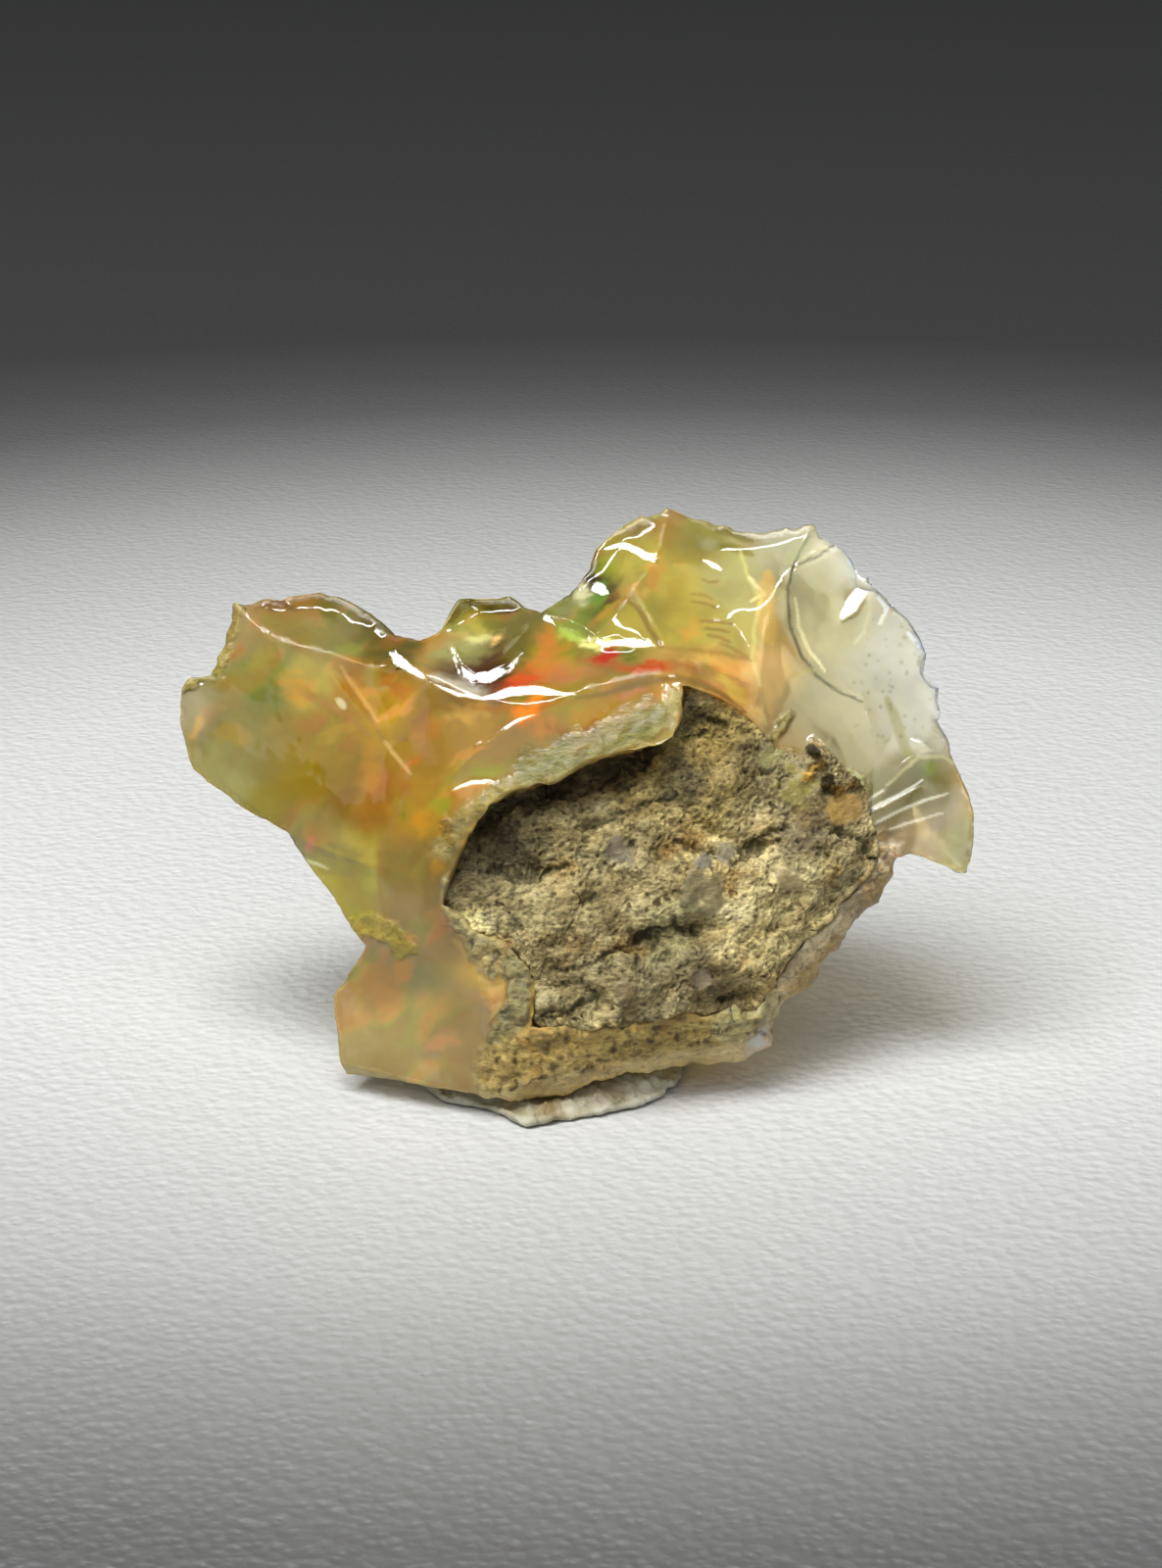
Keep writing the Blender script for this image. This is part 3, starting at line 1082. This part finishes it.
def flashed(points, u, v, colours, behind):  # the play of colour laid over the body's, and where it is
    mask = np.zeros(len(points))
    for number, (spot, size, lean, colour, strength) in enumerate(opalFlashes.values()):
        soft = patchAt(u, v, spot, size, lean) * np.exp(-((behind(spot) / opal["flashDepth"]) ** 2))
        near = np.flatnonzero(soft > 0.03)
        ragged = streaked(points[near], lean + 10, 1.5, 2.5, 20 + number)
        ragged += 1.1 * streaked(points[near], lean - 10, 4.5, 4.0, 120 + number)
        share = strength * easeBetween(soft[near] + 0.35 * ragged * np.sqrt(soft[near]), 0.0, 0.9)
        colours[near] = laidOver(colours[near], share, shade(*colour))
        mask[near] = np.maximum(mask[near], share)
    return colours, mask


def specksOf():  # dark specks in the clear disc and along the south skin: place and size in pixels
    dots = np.random.default_rng(opal["speckSeed"])
    disc = []
    for _ in range(opal["discSpecks"]):
        spot = dots.uniform(*opal["discSpeckArea"])
        disc.append((spot, dots.uniform(*opal["discSpeckSize"])))
    south = []
    start, run = opal["southSpeckLine"]
    for _ in range(opal["southSpecks"]):
        along = dots.uniform(0, 1)
        spot = (start[0] + run[0] * along, start[1] + run[1] * along + dots.uniform(-28, 18))
        south.append((spot, dots.uniform(*opal["southSpeckSize"])))
    return disc, south


def clearOpal(points, faces, u, v, mask):
    plate = easeBetween(u + 0.25 * (v - 640), 742, 830) * (1 - 0.6 * easeBetween(v, 750, 810))
    dome = patchAt(u, v, (705, 605), (60, 60))
    thick = thicknessOf(points, faces, pointNormals(points, faces))
    thin = 1 - easeBetween(thick, 0.5, 3.0)
    clear = opal["clearStone"] + opal["clearPlate"] * plate + opal["clearDome"] * dome
    clear = clear + opal["clearThin"] * thin
    return np.clip(clear - opal["clearFlash"] * mask, opal["clearLeast"], opal["clearMost"])


def paintOpal(points, faces, sight):
    u, v, depth = seenAt(points)
    depth = depth / mm
    for reach, scale, seeds in ((7, 0.6, (7, 9)), (3, 2.2, (8, 10))):  # broad drifts, then small ones
        u, v = drifted(points, u, v, reach, scale, 2, seeds)
    front = np.flatnonzero(sight > 0.6)
    tree = KDTree(len(front))
    for number in front:
        tree.insert((u[number], v[number], 0), int(number))
    tree.balance()

    def behind(spot):  # mm that each point lies behind or before the skin seen at a place
        return depth - depth[tree.find((*spot, 0))[1]]

    wash = washedWith(opalWashes, u, v, opal["baseTint"], 0.004, behind)
    colours, mask = flashed(points, u, v, shimmered(points, u, v, wash), behind)

    u, v, _ = seenAt(points)
    clear = clearOpal(points, faces, u, v, mask)
    driftU, driftV = (cloudOf(points, 2.0, 2, seed) for seed in (14, 15))
    nearU, nearV = u + 0.8 * driftU, v + 0.8 * driftV
    for path, half, colour, strength in opalStrokes.values():
        away, _, along = pathReach(nearU, nearV, path)
        taper = half * (0.35 + 0.65 * np.sqrt(np.clip(4 * along * (1 - along), 0, 1)))
        share = strength * sight * (1 - easeBetween(away, 0.5 * taper, taper + 1.3))
        colours = laidOver(colours, share, shade(*colour))
        clear = clear * (1 - 0.5 * share)
    discSpecks, southSpecks = specksOf()
    for spot, size in discSpecks:
        away = np.hypot(nearU - spot[0], nearV - spot[1])
        share = 0.7 * sight * (1 - easeBetween(away, 0.6, size))
        colours = laidOver(colours, share, srgb(*opal["discSpeckTint"]))
        clear = clear * (1 - 0.6 * share)

    rind = np.zeros(len(points))
    farU, farV = u + 4.8 * driftU, v + 4.8 * driftV
    for name, (path, half, colour, strength, _) in opalRinds.items():
        inner, outer = (0.3, 1.8) if name in softRinds else (0.7, 1.25)
        away = pathReach(farU, farV, path)[0]
        share = strength * sight * (1 - easeBetween(away, inner * half, outer * half))
        colours = laidOver(colours, share, shade(*colour))
        rind = np.maximum(rind, share)
    farU, farV = u + 3.2 * driftU, v + 3.2 * driftV
    for spot, size in southSpecks:
        away = np.hypot(farU - spot[0], farV - spot[1])
        share = 0.75 * sight * (1 - easeBetween(away, 0.5 * size, size + 1))
        colours = laidOver(colours, share, srgb(*opal["southSpeckTint"]))
    return {
        "body": np.clip(colours * opal["bodyGain"], 0, 0.98),
        "flashShare": mask * (1 - rind),
        "clear": clear * (1 - rind),
        "rind": rind,
        "dull": np.maximum(rind, opal["edgeDull"] * wornEdge(points, faces, u, v)),
    }


def wornEdge(points, faces, u, v):  # 1 on sharp outer edges, which shine less than the broken faces
    bend = bendOf(points, edgesOf(faces)[0], pointNormals(points, faces), 4)
    worn = easeBetween(bend, 0.002, 0.007)
    for path, width in opalLedges.values():
        worn *= easeBetween(pathReach(u, v, path)[0], width + 2, width + 9)
    return worn


def thicknessOf(points, faces, normals, most=12.0):  # mm of stone straight in from each point
    tree = BVHTree.FromPolygons(points.tolist(), faces.tolist())
    found = np.full(len(points), most)
    for number, (point, normal) in enumerate(zip(points, normals)):
        inward = Vector(-normal)
        hit = tree.ray_cast(Vector(point) + inward * 0.02 * mm, inward)
        if hit[0] is not None:
            found[number] = hit[3] / mm
    return found


def mixShaders(tree, factor, first, second):
    node = tree.nodes.new("ShaderNodeMixShader")
    joinUp(tree, factor, node.inputs["Fac"])
    joinUp(tree, first.outputs[0], node.inputs[1])
    joinUp(tree, second.outputs[0], node.inputs[2])
    return node


def opalFinish():
    material, tree, milk = newMaterial("preciousOpal")
    place = objectPlace(tree)
    vary = ramp(tree, noiseAt(tree, place, opal["cloudScale"], 4), (0.3, 0.86), (0.7, 1.1))
    body = multiplied(tree, painted(tree, "body", "Color"), vary)
    rind = painted(tree, "rind")
    crust = crumbly(tree, place)
    body = mixColours(tree, rind, body, multiplied(tree, body, crust["Colour"]))
    joinUp(tree, body, milk.inputs["Base Color"])
    dull = painted(tree, "dull")
    smooth = maths(tree, "MULTIPLY_ADD", dull, opal["rindGloss"], opal["gloss"])
    joinUp(tree, smooth, milk.inputs["Roughness"])
    milk.inputs["IOR"].default_value = opal["ior"]
    milk.inputs["Subsurface Weight"].default_value = 1.0
    milk.inputs["Subsurface Radius"].default_value = opal["scatterReach"]
    milk.inputs["Subsurface Scale"].default_value = opal["scatterDepth"]
    glowing = mixColours(tree, painted(tree, "flashShare"), black, painted(tree, "body", "Color"))
    joinUp(tree, glowing, milk.inputs["Emission Color"])
    milk.inputs["Emission Strength"].default_value = opal["glow"]
    bumped(tree, maths(tree, "MULTIPLY", crust["Height"], rind), 0.9, opal["rindRelief"], milk)

    glass = tree.nodes.new("ShaderNodeBsdfPrincipled")
    joinUp(tree, mixColours(tree, opal["glassTint"], white, body), glass.inputs["Base Color"])
    glass.inputs["Transmission Weight"].default_value = 1.0
    glass.inputs["IOR"].default_value = opal["ior"]
    smooth = maths(tree, "MULTIPLY_ADD", dull, opal["glassRindGloss"], opal["glassGloss"])
    joinUp(tree, smooth, glass.inputs["Roughness"])
    clear = painted(tree, "clear")
    both = mixShaders(tree, clear, milk, glass)

    # the clear stone lets part of the lamps' light through to what lies behind it
    lampRays = tree.nodes.new("ShaderNodeLightPath").outputs["Is Shadow Ray"]
    passing = maths(tree, "MULTIPLY", lampRays, maths(tree, "MULTIPLY", clear, opal["lampPass"]))
    through = addNode(tree, "ShaderNodeBsdfTransparent", Color=(*opal["lampTint"], 1))
    out = tree.nodes["Material Output"]
    joinUp(tree, mixShaders(tree, passing, both, through).outputs[0], out.inputs["Surface"])
    soak = addNode(tree, "ShaderNodeVolumeAbsorption", Density=opal["tintDensity"])
    soak.inputs["Color"].default_value = (*opal["bodyTint"], 1)
    joinUp(tree, soak.outputs[0], out.inputs["Volume"])
    return material


def makeOpal():
    points, faces = shapeOpal()
    points, sight = grainOpal(points, faces)
    asMesh("opalBody", points, faces, opalFinish(), paintOpal(points, faces, sight), "opal")
    print("opal:", len(faces), "triangles")


# host rock

hostRock = {
    "grow": 0.4,  # mm, closes the fitting gap to the opal
    "growReach": 24,  # pixels from its sides over which the growth dies out
    "lump": 0.17,  # mm, and so are the four below
    "chip": 0.055,
    "grain": 0.034,
    "glassyRise": 0.05,
    "mossRise": 0.16,
    "fineEdge": 0.068,  # mm, longest edge on its open face
    # the open face dips to the opal's skin along these rims: path, depth in mm
    "southRim": (((505, 1000), (516, 1046), (600, 1048), (680, 1031), (745, 1031)), 0.22),
    "eastRim": (((760, 1022), (800, 985), (850, 925), (878, 895), (905, 862)), 0.34),
    "seam": 0.24,  # mm, how far its rim wanders
    "strokeLean": 35.0,  # degrees that the broken look is drawn out
    "baseTint": (170, 156, 112),
    "gain": 1.6,
    "roughness": 0.85,
    "grainShine": 0.6,  # how much smoother the glassy grains are
    "relief": 0.00012,
}

# tints of the rock: picture place, reach in pixels, shade and brightness
rockWashes = {
    "underLip": ((560, 815), 34, ("stone", 0.48)),
    "underLipEast": ((650, 775), 24, ("wheat", 0.47)),
    "west": ((480, 890), 26, ("stone", 0.33)),
    "westMiddle": ((520, 860), 24, ("stone", 0.19)),
    "northCorner": ((700, 735), 16, ("stone", 0.47)),
    "northMiddle": ((690, 795), 18, ("stone", 0.40)),
    "northShelf": ((745, 800), 16, ("wheat", 0.47)),
    "eastMiddle": ((820, 862), 18, ("sand", 0.34)),
    "southMiddle": ((650, 1000), 22, ("stone", 0.51)),
    "footMiddle": ((700, 1030), 20, ("stone", 0.71)),
    "goldNorth": ((722, 760), 20, ("wheat", 0.62)),
    "goldEast": ((748, 772), 20, ("wheat", 0.44)),
    "amberSpot": ((639, 799), 9, ("wheat", 0.11)),
    "greyHeart": ((600, 850), 26, ("stone", 0.58)),
    "centre": ((640, 900), 40, ("stone", 0.58)),
    "beigeWest": ((520, 930), 34, ("stone", 0.55)),
    "whiteWest": ((480, 955), 16, ("bone", 0.90)),
    "south": ((600, 980), 34, ("stone", 0.52)),
    "southDark": ((680, 955), 24, ("bone", 0.52)),
    "southEast": ((700, 1010), 34, ("sand", 0.38)),
    "southWest": ((560, 1030), 28, ("stone", 0.55)),
    "cream": ((790, 930), 40, ("stone", 0.71)),
    "creamEast": ((840, 890), 34, ("stone", 0.62)),
    "eastShade": ((880, 860), 20, ("stone", 0.65)),
    "ochreMiddle": ((770, 862), 20, ("stone", 0.70)),
    "amberSouth": ((780, 950), 16, ("wheat", 0.55)),
    "northEast": ((800, 800), 30, ("stone", 0.51)),
    "amberEast": ((850, 832), 22, ("stone", 0.40)),
}

# glassy grains in the rock: picture place, radius in pixels, shade and brightness
rockGrains = {
    "violet": ((632, 868), 16, ("cream", 0.36)),
    "smoky": ((716, 912), 26, ("wheat", 0.37)),
    "smokyUpper": ((742, 872), 12, ("stone", 0.33)),
    "honey": ((806, 898), 14, ("straw", 0.45)),
    "southHoney": ((640, 1012), 13, ("honey", 0.33)),
    "white": ((716, 1000), 10, ("sand", 0.50)),
    "amberShelf": ((818, 800), 24, ("reed", 0.48)),
    "amberShelfEast": ((862, 824), 18, ("honey", 0.57)),
    "amberShelfWest": ((786, 768), 16, ("sage", 0.51)),
    "blueGrey": ((720, 880), 9, ("milk", 0.36)),
}

# dark mossy growths on the rock's north-east shelf: picture place, radius in pixels, shade and brightness
rockMoss = {
    "head": ((832, 768), 9, ("gold", 0.20)),
    "neck": ((838, 781), 9, ("gold", 0.28)),
    "body": ((845, 797), 11, ("gold", 0.17)),
    "bridge": ((858, 806), 9, ("gold", 0.34)),
    "east": ((873, 801), 10, ("honey", 0.33)),
    "halo": ((828, 788), 9, ("honey", 0.62)),
    "west": ((798, 740), 7, ("honey", 0.45)),
}

# cracks and hollows: path in the picture, half width in pixels, depth in mm
rockCracks = {
    "eastCrack": (((700, 862), (730, 868), (750, 880), (768, 868), (790, 862)), 4, 0.28),
    "eastCrackUp": (((760, 868), (785, 850), (805, 842)), 4, 0.22),
    "westCrack": (((500, 886), (530, 894), (560, 888), (575, 884)), 4, 0.25),
    "southCrack": (((640, 968), (660, 952), (688, 945), (710, 950)), 4, 0.22),
    "southCrackWest": (((560, 990), (600, 985), (640, 968)), 3, 0.15),
    "footCrack": (((540, 1046), (570, 1030), (610, 1022)), 4, 0.2),
    "northCrack": (((596, 842), (640, 826), (690, 812)), 3, 0.12),
    "lipHollow": (((492, 838), (520, 815), (570, 802), (615, 790), (650, 775), (668, 752)), 13, 0.5),
    "rimCrack": (((852, 848), (880, 858), (902, 876)), 5, 0.25),
    "cornerPit": (((705, 722), (722, 735), (742, 742)), 5, 0.22),
}


def growToPocket(points, faces):
    # the solid stands clear of its pocket all round: its sides go out to meet the opal
    normals = faceNormals(points, faces)
    side = np.abs(normals @ viewLine()) < 0.25
    outward = np.zeros_like(points)
    for corner in range(3):
        np.add.at(outward, faces[side, corner], normals[side])
    wall = np.flatnonzero(np.linalg.norm(outward, axis=1) > 0)
    outward[wall] /= np.linalg.norm(outward[wall], axis=1)[:, None]
    u, v, _ = seenAt(points)
    tree = KDTree(len(wall))
    for i, number in enumerate(wall):
        tree.insert((u[number], v[number], 0), i)
    tree.balance()
    moved = points.copy()
    for number in range(len(points)):
        _, near, away = tree.find((u[number], v[number], 0))
        share = max(0.0, 1 - away / hostRock["growReach"])
        moved[number] += outward[wall[near]] * hostRock["grow"] * mm * share
    return moved


def shapeRock():
    points, faces = mergedCopy("host_rock")
    noRidges = np.zeros((0, 2), int)
    points = growToPocket(points, faces)
    view = viewLine()

    def seenAndLong(points, edges):
        facing = pointNormals(points, faces) @ view > 0.1
        return facing[edges].all(axis=1) & longerThan(hostRock["fineEdge"], points, edges)

    for _ in range(4):
        points, faces, _ = splitSkin(points, faces, noRidges, seenAndLong)
        points = relaxed(points, faces, noRidges, 1, 0.4)
    normals = pointNormals(points, faces)
    facing = np.clip((normals @ view - 0.1) / 0.4, 0, 1)
    u, v, _ = seenAt(points)
    points = points + seamWander(points, u, v) * mm

    lean = hostRock["strokeLean"]
    warp = points + 0.25 * mm * wanderOf(points, 1.5, 2, (32, 33, 34))
    coarse = np.abs(streaked(warp, lean, 1.5, 2.6, 35))
    chips = 0.9 - 1.1 * coarse - 1.5 * np.abs(streaked(warp, lean + 12, 3.6, 1.7, 36))
    grain = streaked(points, lean, 7.0, 1.5, 37) + cloudOf(points, 11, 1, 38)
    rise = hostRock["lump"] * cloudOf(points, 0.55, 3, 31)
    rise = rise + hostRock["chip"] * chips + hostRock["grain"] * grain
    ragged = grainEdge(points)
    smooth = 0.03 * cloudOf(points, 3.0, 2, 40)
    for spot, radius, _ in rockGrains.values():
        away = np.hypot(u - spot[0], v - spot[1]) / radius + ragged
        inside = 1 - easeBetween(away, 0.7, 1.05)
        dome = hostRock["glassyRise"] * np.sqrt(np.clip(1 - away**2, 0, 1)) + smooth
        rise = rise * (1 - inside) + dome * inside
    ragged = mossEdge(points)
    for spot, radius, _ in rockMoss.values():
        away = np.hypot(u - spot[0], v - spot[1]) / radius + ragged
        rise += hostRock["mossRise"] * (1 - easeBetween(away, 0.3, 1.1))
    for path, deep in (hostRock["southRim"], hostRock["eastRim"]):
        rise -= deep * (1 - easeBetween(pathReach(u, v, path)[0], 3, 26))
    hollow = np.zeros(len(points))
    u, v = drifted(points, u, v, 5, 1.6, 2, (41, 42))
    for path, half, deep in rockCracks.values():
        sunk = np.exp(-((pathReach(u, v, path)[0] / half) ** 2))
        rise -= deep * sunk
        hollow = np.maximum(hollow, sunk)
    points = points + normals * (rise * facing * mm)[:, None]
    return points, faces, np.clip(0.5 + 0.4 * chips + 0.25 * grain - 0.5 * hollow, 0, 1)


def grainEdge(points):  # how the rims of the glassy grains wander, in their radii
    return 0.5 * cloudOf(points, 1.6, 3, 39)


def mossEdge(points):
    return 0.6 * cloudOf(points, 2.2, 3, 45)


def makeRock():
    points, faces, height = shapeRock()
    u, v, _ = seenAt(points)
    wash = washedWith(rockWashes, *drifted(points, u, v, 10, 0.9, 3, (43, 44)), hostRock["baseTint"], 0.03)
    glassy = np.zeros(len(points))
    ragged = grainEdge(points)
    for spot, radius, colour in rockGrains.values():
        away = np.hypot(u - spot[0], v - spot[1]) / radius + ragged
        inside = 0.8 * (1 - easeBetween(away, 0.6, 1.1))
        wash = laidOver(wash, inside, shade(*colour))
        glassy = np.maximum(glassy, inside)
    ragged = mossEdge(points)
    for spot, radius, colour in rockMoss.values():
        away = np.hypot(u - spot[0], v - spot[1]) / radius + ragged
        inside = 1 - easeBetween(away, 0.6, 1.05)
        wash = laidOver(wash, inside, shade(*colour))
        glassy *= 1 - inside
    layers = {"body": np.clip(wash * hostRock["gain"], 0, 0.95), "height": height, "glassy": glassy}
    asMesh("hostRock", points, faces, rockFinish(), layers, "host_rock")
    print("host rock:", len(faces), "triangles")


# the broken look of the rock and of the rind on the opal
crumb = {
    "stretch": (0.55, 1, 1.3),
    "patches": 900,  # waves per metre
    "fine": 6000,
    "pits": 1900,
    "rust": 520,
    "tones": (
        (0.3, (136, 122, 96)), (0.45, (206, 196, 170)), (0.56, (246, 240, 216)), (0.7, (255, 252, 240)),
    ),
    "dots": ((0.32, 0.4), (0.45, 0.88), (0.58, 1.06), (0.7, 1.4)),
    "pitTint": (96, 78, 50),
    "pitShare": 0.8,
    "rustTint": (244, 212, 160),
}


def crumblyGroup():  # puts out a tint round 1 to multiply by, and a height
    group = bpy.data.node_groups.new("crumbly", "ShaderNodeTree")
    group.interface.new_socket("Place", in_out="INPUT", socket_type="NodeSocketVector")
    group.interface.new_socket("Colour", in_out="OUTPUT", socket_type="NodeSocketColor")
    group.interface.new_socket("Height", in_out="OUTPUT", socket_type="NodeSocketFloat")
    inside = group.nodes.new("NodeGroupInput").outputs["Place"]
    out = group.nodes.new("NodeGroupOutput")
    turned = addNode(group, "ShaderNodeMapping", vector_type="POINT")
    turned.inputs["Rotation"].default_value = (0, math.radians(hostRock["strokeLean"]), 0)
    turned.inputs["Scale"].default_value = crumb["stretch"]
    joinUp(group, inside, turned.inputs["Vector"])
    patches = noiseAt(group, turned.outputs["Vector"], crumb["patches"], 5, 0.72)
    fine = noiseAt(group, turned.outputs["Vector"], crumb["fine"], 3, 0.7)
    tone = ramp(group, patches, *((place, srgb(*levels)) for place, levels in crumb["tones"]))
    dots = ramp(group, fine, *crumb["dots"])
    holes = noiseAt(group, inside, crumb["pits"], 2)
    pits = ramp(group, holes, (0.3, srgb(*crumb["pitTint"])), (0.37, white))
    stains = noiseAt(group, inside, crumb["rust"], 3)
    rust = ramp(group, stains, (0.56, white), (0.74, srgb(*crumb["rustTint"])))
    colour = multiplied(group, multiplied(group, tone, dots), rust)
    colour = mixColours(group, crumb["pitShare"], colour, multiplied(group, colour, pits))
    joinUp(group, colour, out.inputs["Colour"])
    joinUp(group, maths(group, "ADD", patches, maths(group, "MULTIPLY", fine, 0.6)), out.inputs["Height"])
    return group


def crumbly(tree, place):
    node = tree.nodes.new("ShaderNodeGroup")
    node.node_tree = bpy.data.node_groups.get("crumbly") or crumblyGroup()
    joinUp(tree, place, node.inputs["Place"])
    return node.outputs


def rockFinish():
    material, tree, shader = newMaterial("hostRock")
    crust = crumbly(tree, objectPlace(tree))
    glassy = painted(tree, "glassy")
    plain = mixColours(tree, maths(tree, "MULTIPLY", glassy, 0.75), crust["Colour"], white)
    body = multiplied(tree, painted(tree, "body", "Color"), plain)
    worn = ramp(tree, painted(tree, "height"), (0.05, 0.3), (0.35, 0.72), (0.7, 1.1), (1.0, 1.3))
    worn = mixColours(tree, glassy, worn, white)
    joinUp(tree, multiplied(tree, body, worn), shader.inputs["Base Color"])
    rough = maths(tree, "MULTIPLY_ADD", glassy, -hostRock["grainShine"], hostRock["roughness"])
    joinUp(tree, rough, shader.inputs["Roughness"])
    shader.inputs["Specular IOR Level"].default_value = 0.4
    bumped(tree, crust["Height"], 0.8, hostRock["relief"], shader)
    return material


# putty

putty = {
    "lump": 0.1,  # mm
    "crease": 0.06,  # mm
    "torn": 0.1,  # mm, how far its rim wanders
    "curl": 0.16,  # mm, height of the curled rim
    "fineEdge": 0.12,  # mm, longest edge
    "baseTint": (186, 184, 170),
    "smudgeTint": (214, 208, 190),
    "smudges": 900,  # waves per metre
    "fine": 3000,
    "roughness": (0.6, 0.85),
    "relief": 0.00015,
}

# its curled rim in the picture
puttyRim = (
    (437, 1106), (455, 1122), (490, 1128), (521, 1137), (535, 1148),
    (552, 1143), (590, 1139), (628, 1136), (663, 1121), (690, 1100),
)

# tints of the pad: picture place, reach in pixels, shade and brightness
puttyWashes = {
    "rimWest": ((470, 1128), 22, ("milk", 0.67)),
    "tip": ((535, 1146), 18, ("milk", 0.77)),
    "rimEast": ((610, 1140), 26, ("milk", 0.78)),
    "rimFar": ((680, 1118), 22, ("milk", 0.83)),
    "hollow": ((560, 1120), 16, ("straw", 0.59)),
    "hollowEast": ((612, 1114), 18, ("sand", 0.61)),
    "hollowWest": ((522, 1128), 9, ("straw", 0.60)),
}


def makePutty():
    points, faces = mergedCopy("putty")
    noRidges = np.zeros((0, 2), int)

    def long(points, edges):
        return longerThan(putty["fineEdge"], points, edges)

    for _ in range(4):
        points, faces, _ = splitSkin(points, faces, noRidges, long)
        points = relaxed(points, faces, noRidges, 1, 0.4)
    normals = pointNormals(points, faces)
    free = easeBetween(points[:, 2], 0.02 * mm, 0.3 * mm)  # its flat underside stays as it is
    u, v, _ = seenAt(points)
    rim = pathReach(*drifted(points, u, v, 2, 1.5, 2, (53, 54)), puttyRim)[0]
    rise = putty["lump"] * cloudOf(points, 1.1, 2, 51) + putty["crease"] * cloudOf(points, 3.2, 3, 52)
    rise += putty["curl"] * (np.exp(-((rim / 4) ** 2)) - 0.5 * np.exp(-(((rim - 9) / 5) ** 2)))
    sideways = putty["torn"] * wanderOf(points, 1.6, 3, (55, 56, 57))
    points = points + (normals * rise[:, None] + sideways) * (free * mm)[:, None]
    points[:, 2] = np.maximum(points[:, 2], 0)
    wash = washedWith(puttyWashes, *drifted(points, u, v, 4, 1.5, 3, (58, 59)), putty["baseTint"], 0.05)
    asMesh("puttyPad", points, faces, puttyFinish(), {"body": wash}, "putty")
    print("putty:", len(faces), "triangles")


def puttyFinish():
    material, tree, shader = newMaterial("kneadedPutty")
    place = objectPlace(tree)
    cloud = noiseAt(tree, place, putty["smudges"], 4)
    smudge = ramp(tree, cloud, (0.35, srgb(*putty["smudgeTint"])), (0.65, white))
    fine = noiseAt(tree, place, putty["fine"], 3)
    joinUp(tree, multiplied(tree, painted(tree, "body", "Color"), smudge), shader.inputs["Base Color"])
    smoothest, roughest = putty["roughness"]
    joinUp(tree, ramp(tree, fine, (0.3, smoothest), (0.7, roughest)), shader.inputs["Roughness"])
    bumped(tree, fine, 0.5, putty["relief"], shader)
    return material


makeCamera()
makeStudio()
print("studio ready")
makeRock()
makePutty()
makeOpal()
